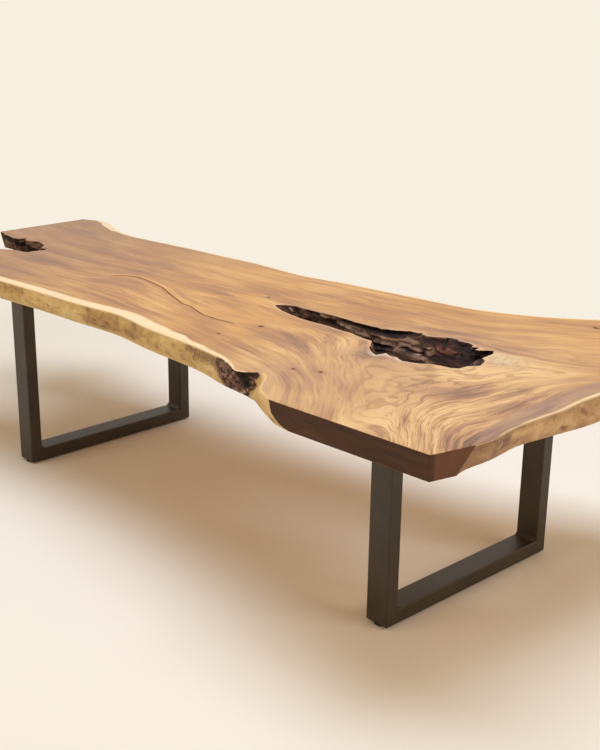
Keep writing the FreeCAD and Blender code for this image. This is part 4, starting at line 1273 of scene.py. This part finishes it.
    def _ease(self, place: Vector) -> float:
        """Radius of the rounded rims.

        Args:
            place: Place on a wall.

        Returns:
            Radius, larger where the edge turns beside the knot.
        """
        if self._near_saw(place) or self._inside_rim(place):
            return self.cut_ease
        if place.y > KNOT_PATCH.far:
            return self.live_ease
        start = held((place.x - self.turned_span[0]) / self.turned_runs[0])
        end = held((self.turned_span[1] - place.x) / self.turned_runs[1])
        return self.live_ease + start * end * self.turned_ease

    def _inside_rim(self, place: Vector) -> bool:
        """Whether a place is on the wall of the void or of the split."""
        return VOID_PATCH.holds(place) or SPLIT_PATCH.holds(place)

    def _part_at_saws(self, shell: bmesh.types.BMesh) -> None:
        """Cut the walls along the edges of the sawn faces.

        Args:
            shell: Mesh with the walls.
        """
        for origin, way in self.saws:
            geom = list(shell.verts) + list(shell.edges) + list(shell.faces)
            bmesh.ops.bisect_plane(shell, geom=geom, dist=1e-6, plane_no=way,
                                   plane_co=origin - way * self.saw_reach)

    def _mark_walls(self, shell: bmesh.types.BMesh) -> None:
        """Give each band of the walls its slot, and mark its points as a wall's.

        Args:
            shell: Mesh with the walls.
        """
        skin = shell.verts.layers.float_vector["skin"]
        for vert in shell.verts:
            vert[skin] = (0.5, 0.0, 1.0)
        for face in shell.faces:
            middle = face.calc_center_median()
            if middle.z > self.high.z - self.cut_ease:
                face.material_index = Skin.FACE
            elif all(self._near_saw(vert.co) for vert in face.verts):
                face.material_index = Skin.SAWN
            elif self._inside_rim(middle):
                face.material_index = Skin.BARK
            else:
                face.material_index = Skin.LIVE

    # -- relief

    def _carve(self, shell: bmesh.types.BMesh) -> None:
        """Give the natural walls their relief, and mark the features on every point.

        Args:
            shell: Closed mesh of the slab.
        """
        shell.normal_update()
        layers = [shell.verts.layers.float_vector[name] for name in ("cool", "warm", "skin")]
        verts = list(shell.verts)
        tones, lifts = self._features(np.array([vert.co for vert in verts]))
        moves = []
        for vert, tone, lift in zip(verts, tones, lifts):
            depth = min(self.high.z - vert.co.z, vert.co.z - self.low.z)
            on_wall = vert[layers[2]].z > 0.5
            amount = self._relief(vert, depth, tone[Mark.BARK], lift) if on_wall else 0.0
            vert[layers[0]] = tone[:3]
            vert[layers[1]] = tone[3:]
            # Painted shade: how far the point stands out, kept for the finishes, which paint sunk parts
            # darker and raised parts lighter.
            relief_shade = held(0.5 + amount / self.relief_shade_range)
            vert[layers[2]] = (relief_shade, self.high.z - vert.co.z, 0.0)
            if amount:
                moves.append((vert, self._out_of_wood(vert) * amount))
        for vert, shift in moves:
            vert.co += shift
            vert.co.x = min(max(vert.co.x, self.low.x), self.high.x)
            vert.co.y = min(max(vert.co.y, self.low.y), self.high.y)

    def _features(self, places: np.ndarray) -> tuple[np.ndarray, np.ndarray]:
        """Strength of each mark, and how far the features stand out, at each point.

        Args:
            places: Array of x, y, z rows in metres.

        Returns:
            One column for each mark, and the outward step in metres.
        """
        tones = np.zeros((len(places), len(Mark)))
        lifts = np.zeros(len(places))
        for feature in EDGE_FEATURES + VOID_FEATURES:
            share = feature.shares(places / MM)
            tones[:, feature.mark] = np.maximum(tones[:, feature.mark], share * feature.force)
            lifts += share * feature.lift * MM
        return tones, lifts

    def _relief(self, vert: bmesh.types.BMVert, depth: float, bark: float, lift: float) -> float:
        """How far a wall's point stands out, in metres.

        Args:
            vert: Point on a wall or a rim.
            depth: Distance to the nearer of the top and the underside.
            bark: Strength of the bark on it.
            lift: Outward step that the features give.

        Returns:
            Outward step, nothing on a sawn face.
        """
        skins = {face.material_index for face in vert.link_faces}
        if Skin.SAWN in skins:
            return 0.0
        gap = min(abs((vert.co - origin).dot(way)) for origin, way in self.saws)
        calm = min(1.0, gap / self.saw_calm)
        if self._inside_rim(vert.co):
            rough, at_rim = self._bark_relief(vert.co, depth), 0.15
        else:
            rough, at_rim = self._live_relief(vert.co, depth, bark), 0.2
        return (rough + lift * min(1.0, at_rim + depth / self.lift_depth)) * calm

    def _out_of_wood(self, vert: bmesh.types.BMVert) -> Vector:
        """Level way out of the wood at a wall's point."""
        return self._wall_point(vert.co, self._clear(vert.co.z, 0.003))[1]

    def _live_relief(self, place: Vector, depth: float, bark: float) -> float:
        """How far the natural edge stands out.

        Args:
            place: Place on the edge.
            depth: Distance to the nearer of the top and the underside.
            bark: Strength of the bark there.

        Returns:
            Outward step in metres.
        """
        slow = noise.fractal(stretched(place, 6, 6, 13), 1.0, 2.0, 3)
        fine = noise.fractal(stretched(place, 34, 34, 50), 0.9, 2.0, 3)
        rise = min(1.0, depth / 0.012)
        flatter = 0.55 if place.x > 1.4 else 1.0
        step = self.rough
        amount = (slow * step.swell + fine * step.waver) * (0.18 + 0.82 * rise) * flatter
        if bark > 0.2:
            rough = noise.ridged_multi_fractal(stretched(place, 42, 42, 75), 0.9, 2.1, 4, 1.0, 2.0)
            gaps, _ = noise.voronoi(stretched(place, 52, 52, 60))
            seam = math.exp(-((gaps[1] - gaps[0]) / 0.16) ** 2)
            proud = (rough - 1.2) * step.bark - seam * step.seam
            amount += proud * min(1.0, bark) * (0.3 + 0.7 * rise)
        return amount

    def _bark_relief(self, place: Vector, depth: float) -> float:
        """How far old bark stands out of the wall of the void or the split.

        Args:
            place: Place on the wall.
            depth: Distance to the nearer of the top and the underside.

        Returns:
            Outward step in metres.
        """
        broad = 1.0 if place.x > 0.66 or place.x < 0 else 0.55
        rise = min(1.0, 0.22 + depth / 0.016)
        ledges = noise.ridged_multi_fractal(stretched(place, 9, 14, 46), 0.85, 2.1, 4, 1.0, 2.0)
        lumps = noise.fractal(stretched(place, 22, 22, 30), 1.0, 2.0, 4)
        shred = noise.fractal(stretched(place, 90, 90, 160), 0.8, 2.0, 3)
        bend = noise.fractal(place * 14, 1.0, 2.0, 2)
        tilted = place.z * 46 + place.x * 16 + bend * 1.4
        gaps, _ = noise.voronoi(Vector((place.x * 11 + bend * 0.9, place.y * 17, tilted)))
        crack = math.exp(-((gaps[1] - gaps[0]) / 0.14) ** 2)
        step = self.rough
        plates = (0.45 - gaps[0]) * step.plate - crack * step.crack
        rough = 1.0 if 0.62 < place.x < 1.2 else 0.35
        return ((ledges - 1.15) * step.ledge * broad + lumps * step.lump * broad + plates * rough
                + shred * step.shred) * rise

    # -- level faces

    def _sink_housings(self, shell: bmesh.types.BMesh) -> None:
        """Sink the housing of each mounting plate into the underside.

        Args:
            shell: Mesh that takes the housings' ceilings and sides.
        """
        for side in ("right", "left"):
            low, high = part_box(f"{side}_leg_mounting_plate")
            middle = (low + high) / 2
            reach = (high - low) / 2 + Vector((self.housing_gap, self.housing_gap, 0))
            made = bmesh.ops.create_grid(shell, x_segments=1, y_segments=1, size=1.0)
            bmesh.ops.scale(shell, vec=(reach.x, reach.y, 1), verts=made["verts"])
            bmesh.ops.translate(shell, vec=(middle.x, middle.y, high.z), verts=made["verts"])
            ceiling = next(iter(made["verts"][0].link_faces))
            rim = list(ceiling.edges)
            ceiling.material_index = Skin.FACE
            drop = bmesh.ops.extrude_edge_only(shell, edges=rim)
            verts, edges = verts_and_edges(drop["geom"])
            bmesh.ops.translate(shell, vec=(0, 0, self.low.z - high.z), verts=verts)
            bmesh.ops.subdivide_edges(shell, edges=[edge for edge in edges if edge.calc_length() > 0.2],
                                      cuts=self.housing_cuts)

    def _close_face(self, shell: bmesh.types.BMesh, height: float, pace: float, way: int) -> None:
        """Close the top or the underside with a net of small squares.

        Args:
            shell: Mesh with the walls.
            height: Height of the face.
            pace: Size of the squares.
            way: 1 for the top, -1 for the underside.
        """
        rims = [edge for edge in shell.edges if edge.is_boundary
                and all(abs(vert.co.z - height) < ON_LEVEL for vert in edge.verts)]
        for edge in rims:
            for vert in edge.verts:
                vert.co.z = height
        corners = dict.fromkeys(vert for edge in rims for vert in edge.verts)
        tree = search_tree([vert.co for vert in corners])
        span = self.high - self.low
        columns, rows = int(span.x / pace), int(span.y / pace)
        made = bmesh.ops.create_grid(shell, x_segments=columns, y_segments=rows, size=0.5)
        middle = (self.high + self.low) / 2
        bmesh.ops.scale(shell, vec=(columns * pace, rows * pace, 1), verts=made["verts"])
        bmesh.ops.translate(shell, vec=(middle.x, middle.y, height), verts=made["verts"])
        spare = [vert for vert in made["verts"] if not self._in_face(vert.co, way)
                 or tree.find(vert.co)[2] < pace * 0.7]
        bmesh.ops.delete(shell, geom=spare, context="VERTS")
        net = [vert for vert in made["verts"] if vert.is_valid]
        bmesh.ops.delete(shell, geom=[vert for vert in net if not vert.link_faces], context="VERTS")
        net = [vert for vert in net if vert.is_valid]
        hems = dict.fromkeys(edge for vert in net for edge in vert.link_edges)
        bmesh.ops.triangle_fill(shell, use_beauty=True, use_dissolve=False, normal=(0, 0, 1),
                                edges=rims + [edge for edge in hems if edge.is_boundary])

    def _draw_together(self, shell: bmesh.types.BMesh) -> None:
        """Collapse the few tiny edges that don't lie between just two faces.

        Args:
            shell: Mesh whose faces are closed.
        """
        for _ in range(3):
            loose = [edge for edge in shell.edges if not edge.is_manifold]
            if not loose:
                return
            bmesh.ops.collapse(shell, edges=loose, uvs=False)

    def _in_face(self, place: Vector, way: int) -> bool:
        """Whether a place is in the top or underside of the solid."""
        found, _, _, _ = self.whole.ray_cast(place + Vector((0, 0, 0.5 * way)), Vector((0, 0, -way)))
        return found is not None and abs(found.z - place.z) < ON_LEVEL

    # -- figure and finish

    def _dress(self, shell: bmesh.types.BMesh) -> bpy.types.Object:
        """Turn the shell into an object that carries its figure and finishes.

        Args:
            shell: Carved mesh.

        Returns:
            The slab's object, riding on the table.
        """
        mesh = bpy.data.meshes.new("live_edge_slab")
        shell.to_mesh(mesh)
        places = np.array([vert.co for vert in mesh.vertices])
        self._write(mesh, "figure", self._figure(places))
        self._write(mesh, "marks", self._marks(places))
        for finish in (FiguredWood(), LiveEdge(), SawnWood(), InnerBark()):
            mesh.materials.append(finish.mix())
        mesh.shade_smooth()
        mesh.set_sharp_from_angle(angle=math.radians(self.sharp_degrees))
        slab = bpy.data.objects.new("live_edge_slab", mesh)
        bpy.context.scene.collection.objects.link(slab)
        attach(slab, "table")
        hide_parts(self.node)
        return slab

    def _write(self, mesh: bpy.types.Mesh, name: str, values: np.ndarray) -> None:
        """Store a vector at each point of a mesh."""
        layer = mesh.attributes.new(name, "FLOAT_VECTOR", "POINT")
        layer.data.foreach_set("vector", values.astype(np.float32).ravel())

    def _live_rim(self) -> np.ndarray:
        """Points of the top rim that are natural edge.

        Returns:
            Rows of x, y and the sapwood's width.
        """
        rows = []
        widths = np.array(SAP_WIDTHS, float) * MM
        for loop in self._rim_loops():
            for start, end in zip(loop, loop[1:] + loop[:1]):
                steps = max(1, int((end - start).length / 0.01))
                for part in range(steps):
                    place = start.lerp(end, part / steps)
                    if self._near_saw(place) or self._inside_rim(place):
                        continue
                    gap = np.hypot(widths[:, 0] - place.x, widths[:, 1] - place.y) + 1e-4
                    weight = gap ** -3.0
                    rows.append((place.x, place.y, float((weight * widths[:, 2]).sum() / weight.sum())))
        return np.array(rows)

    def _figure(self, places: np.ndarray) -> np.ndarray:
        """What the face's figure is drawn from.

        Args:
            places: Array of x, y, z rows in metres.
        """
        flat = places[:, :2]
        grain = GrainMap(GRAIN_LINES).at(flat) + (places[:, 2] - self.high.z) * self.grain_lean
        rim = self._live_rim()
        tree = search_tree([(x, y, 0) for x, y, _ in rim])
        sap = np.empty(len(flat))
        for index, (x, y) in enumerate(flat):
            near = tree.find_n((x, y, 0), 3)
            sap[index] = sum(rim[found][2] for _, found, _ in near) / 3 - near[0][2]
        gap, _ = gap_to_line(flat, CHECK_LINE)
        return np.stack([grain, np.clip(sap, -0.2, 0.1), np.clip(gap, -0.2, 0.2)], 1)

    def _marks(self, places: np.ndarray) -> np.ndarray:
        """What the face's marks are drawn from.

        Args:
            places: Array of x, y, z rows in metres.

        Returns:
            Strength of the check, depth into the dark band and gap to the void's rim, for each row.
        """
        flat = places[:, :2]
        _, along = gap_to_line(flat, CHECK_LINE)
        force = np.interp(along, [0, 0.06, 0.5, 0.62, 0.68, 0.8, 0.97, 1.0],
                          [0, 0.55, 0.7, 1.0, 0.45, 0.6, 0.5, 0])
        band, _ = gap_to_line(flat, BAND_LINE)
        rim = min(self._rim_loops(), key=self._span)
        parts = 40
        tree = search_tree([start.lerp(end, part / parts) for start, end in zip(rim, rim[1:] + rim[:1])
                            for part in range(parts)])
        edge = np.array([min(0.1, tree.find((x, y, self.high.z))[2]) for x, y in flat])
        return np.stack([force, np.clip(-band, -0.1, 0.1), edge], 1)


# ---------------------------------------------------------------- the leg frames

@dataclass
class LegFrames:
    """Welded tube frames with their plates, fasteners and levellers."""

    sides: tuple[str, ...] = ("right", "left")
    ends: tuple[str, ...] = ("front", "rear")

    def dress(self) -> None:
        """Give every solid of the two frames its finish."""
        coat = PowderCoat().mix()
        zinc = PlatedSteel().mix()
        nylon = Nylon().mix()
        for side in self.sides:
            for part in ("leg_front_post", "leg_rear_post", "leg_foot_rail", "leg_mounting_plate",
                         "leg_weld_fillets"):
                self._coat(f"{side}_{part}", coat)
            for part in ("plate_screws", "plate_washers", "leveller_nuts"):
                self._coat(f"{side}_{part}", zinc)
            for end in self.ends:
                self._coat(f"{side}_{end}_leveller_foot", nylon)
                self._coat(f"{side}_{end}_leveller_stud", zinc)

    def _coat(self, node: str, material: bpy.types.Material) -> None:
        """Put a finish on one solid."""
        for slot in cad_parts[node].material_slots:
            slot.material = material


# ---------------------------------------------------------------- stage

@dataclass
class Studio:
    """Pale seamless floor, soft light and the camera."""

    camera_place: Point3 = (3.3462, -2.8859, 1.9376)
    yaw: float = 0.819156
    pitch: float = 0.328244
    roll: float = 0.0137677
    focal_px: float = 1216.54
    picture_height: float = 750.0
    sensor: float = 36.0
    backdrop: str = "F7F0E1"
    backdrop_height: float = 9.0
    floor_reach: float = 14.0
    floor_near: float = -9.0
    bend_start: float = 7.0
    bend_radius: float = 3.0
    bend_steps: int = 10

    def build(self) -> None:
        """Set up the stage, the lights and the camera."""
        self._floor()
        self._lights()
        self._camera()
        bpy.context.scene.view_settings.view_transform = "Standard"

    def _floor(self) -> None:
        """Floor that curves up into a backdrop behind the table."""
        sweep = bmesh.new()
        start, end = (sweep.verts.new((side * self.floor_reach, self.floor_near, 0)) for side in (-1, 1))
        ridge = [sweep.edges.new((start, end))]
        foot, bend = self.bend_start, self.bend_radius
        turns = [math.radians(90 / self.bend_steps * index) for index in range(1, self.bend_steps + 1)]
        curve = [(foot + bend * math.sin(turn), bend - bend * math.cos(turn)) for turn in turns]
        for y, z in [(foot, 0.0), *curve, (foot + bend, self.backdrop_height)]:
            made = bmesh.ops.extrude_edge_only(sweep, edges=ridge)
            verts, ridge = verts_and_edges(made["geom"])
            for vert in verts:
                vert.co.y, vert.co.z = y, z
        bmesh.ops.rotate(sweep, cent=(0, 0, 0), matrix=Matrix.Rotation(self.yaw, 3, "Z"),
                         verts=sweep.verts)
        bmesh.ops.recalc_face_normals(sweep, faces=sweep.faces)
        mesh = bpy.data.meshes.new("studio_sweep")
        sweep.to_mesh(mesh)
        sweep.free()
        mesh.shade_smooth()
        mesh.materials.append(self._paper())
        floor = bpy.data.objects.new("studio_sweep", mesh)
        bpy.context.scene.collection.objects.link(floor)

    def _paper(self) -> bpy.types.Material:
        """Matt cream paper that glows evenly far behind the table.

        Returns:
            Material for the floor and the backdrop.
        """
        board = Board("cream_paper")
        place = board.place()
        tooth = board.cloud(place, 1.3, 2.0)
        colour = board.glaze(paint("FDF8EE"), (tooth * 0.3, "FAF3E6"))
        material = board.finish(Base_Color=colour, Roughness=0.9)
        matt, output = (board.tree.nodes[kind] for kind in ("Principled BSDF", "Material Output"))
        glow = board.node("Emission", {}, {"Color": paint(self.backdrop), "Strength": 1.0})
        far = board.step(board.away(place, (0.2, -0.2, 0), (0.62, 1.0, 1.0)), 1.5, 2.5)
        mixed = board.node("MixShader", {}, {0: far * self._seen(board)})
        board.tree.links.new(matt.outputs[0], mixed.inputs[1])
        board.tree.links.new(glow.outputs[0], mixed.inputs[2])
        board.tree.links.new(mixed.outputs[0], output.inputs[0])
        return material

    def _seen(self, board: Board) -> Wire:
        """1 for rays that the camera, a gloss or a glass sends, 0 for those that light."""
        rays = board.node("LightPath")
        kinds = ("Is Camera Ray", "Is Glossy Ray", "Is Transmission Ray")
        return sum((Wire(board, rays.outputs[kind]) for kind in kinds), 0.0).least(1.0)

    def _lights(self) -> None:
        """Long soft lamp overhead, fills from the side and the front, and an even sky."""
        bpy.context.scene.world = bpy.data.worlds.new("studio_air")
        board = Board("studio_air", bpy.context.scene.world)
        sky = board.node("Background", {}, {"Color": paint("FFE4C0"), "Strength": 0.37})
        shown = board.node("Background", {}, {"Color": paint(self.backdrop), "Strength": 1.0})
        mixed = board.node("MixShader", {}, {0: self._seen(board)})
        board.tree.links.new(sky.outputs[0], mixed.inputs[1])
        board.tree.links.new(shown.outputs[0], mixed.inputs[2])
        board.tree.links.new(mixed.outputs[0], board.node("OutputWorld").inputs[0])
        self._lamp("key_softbox", (0.25, 0.1, 5.4), (0.05, 0.0, 0.6), (2.6, 4.8), 228.0, "E0EEFF")
        self._lamp("side_fill", (5.8, 1.6, 4.0), (0.8, 0.0, 0.4), (3.0, 3.0), 75.0, "FFF1DE")
        self._lamp("front_fill", (-1.5, -6.5, 3.6), (0.0, 0.0, 0.6), (5.0, 5.0), 84.0, "FFE8C8")

    def _lamp(self, name: str, place: Point3, aim: Point3, spread: tuple[float, float],
              power: float, tint: str) -> None:
        """Hang a rectangular area lamp.

        Args:
            name: Name of the lamp.
            place: Where it hangs.
            aim: What it shines at.
            spread: Width and length.
            power: Watts.
            tint: Hex code of its colour.
        """
        data = bpy.data.lights.new(name, "AREA")
        data.shape = "RECTANGLE"
        data.size, data.size_y = spread
        data.energy = power
        data.color = paint(tint)[:3]
        lamp = bpy.data.objects.new(name, data)
        way = Vector(aim) - Vector(place)
        lamp.matrix_world = Matrix.Translation(place) @ way.to_track_quat("-Z", "Y").to_matrix().to_4x4()
        bpy.context.scene.collection.objects.link(lamp)

    def _camera(self) -> None:
        """Stand the camera in its place."""
        ahead = Vector((-math.sin(self.yaw) * math.cos(self.pitch),
                        math.cos(self.yaw) * math.cos(self.pitch), -math.sin(self.pitch)))
        level = Vector((math.cos(self.yaw), math.sin(self.yaw), 0))
        up = level.cross(ahead)
        cosine, sine = math.cos(self.roll), math.sin(self.roll)
        right = level * cosine + up * sine
        over = up * cosine - level * sine
        turn = Matrix((right, over, -ahead)).transposed().to_4x4()
        data = bpy.data.cameras.new("table_camera")
        data.sensor_width = self.sensor
        data.sensor_fit = "AUTO"
        data.lens = self.focal_px * self.sensor / self.picture_height
        camera = bpy.data.objects.new("table_camera", data)
        camera.matrix_world = Matrix.Translation(self.camera_place) @ turn
        bpy.context.scene.collection.objects.link(camera)
        bpy.context.scene.camera = camera


def main() -> None:
    """Build the dressed table and its studio."""
    logging.basicConfig(level=logging.INFO, format="%(message)s")
    Studio().build()
    log.info("studio: floor, lamps and camera")
    slab = Slab().build()
    log.info("slab: %d faces", len(slab.data.polygons))
    LegFrames().dress()
    log.info("leg frames: finishes on every solid")


if __name__ == "__main__":
    main()
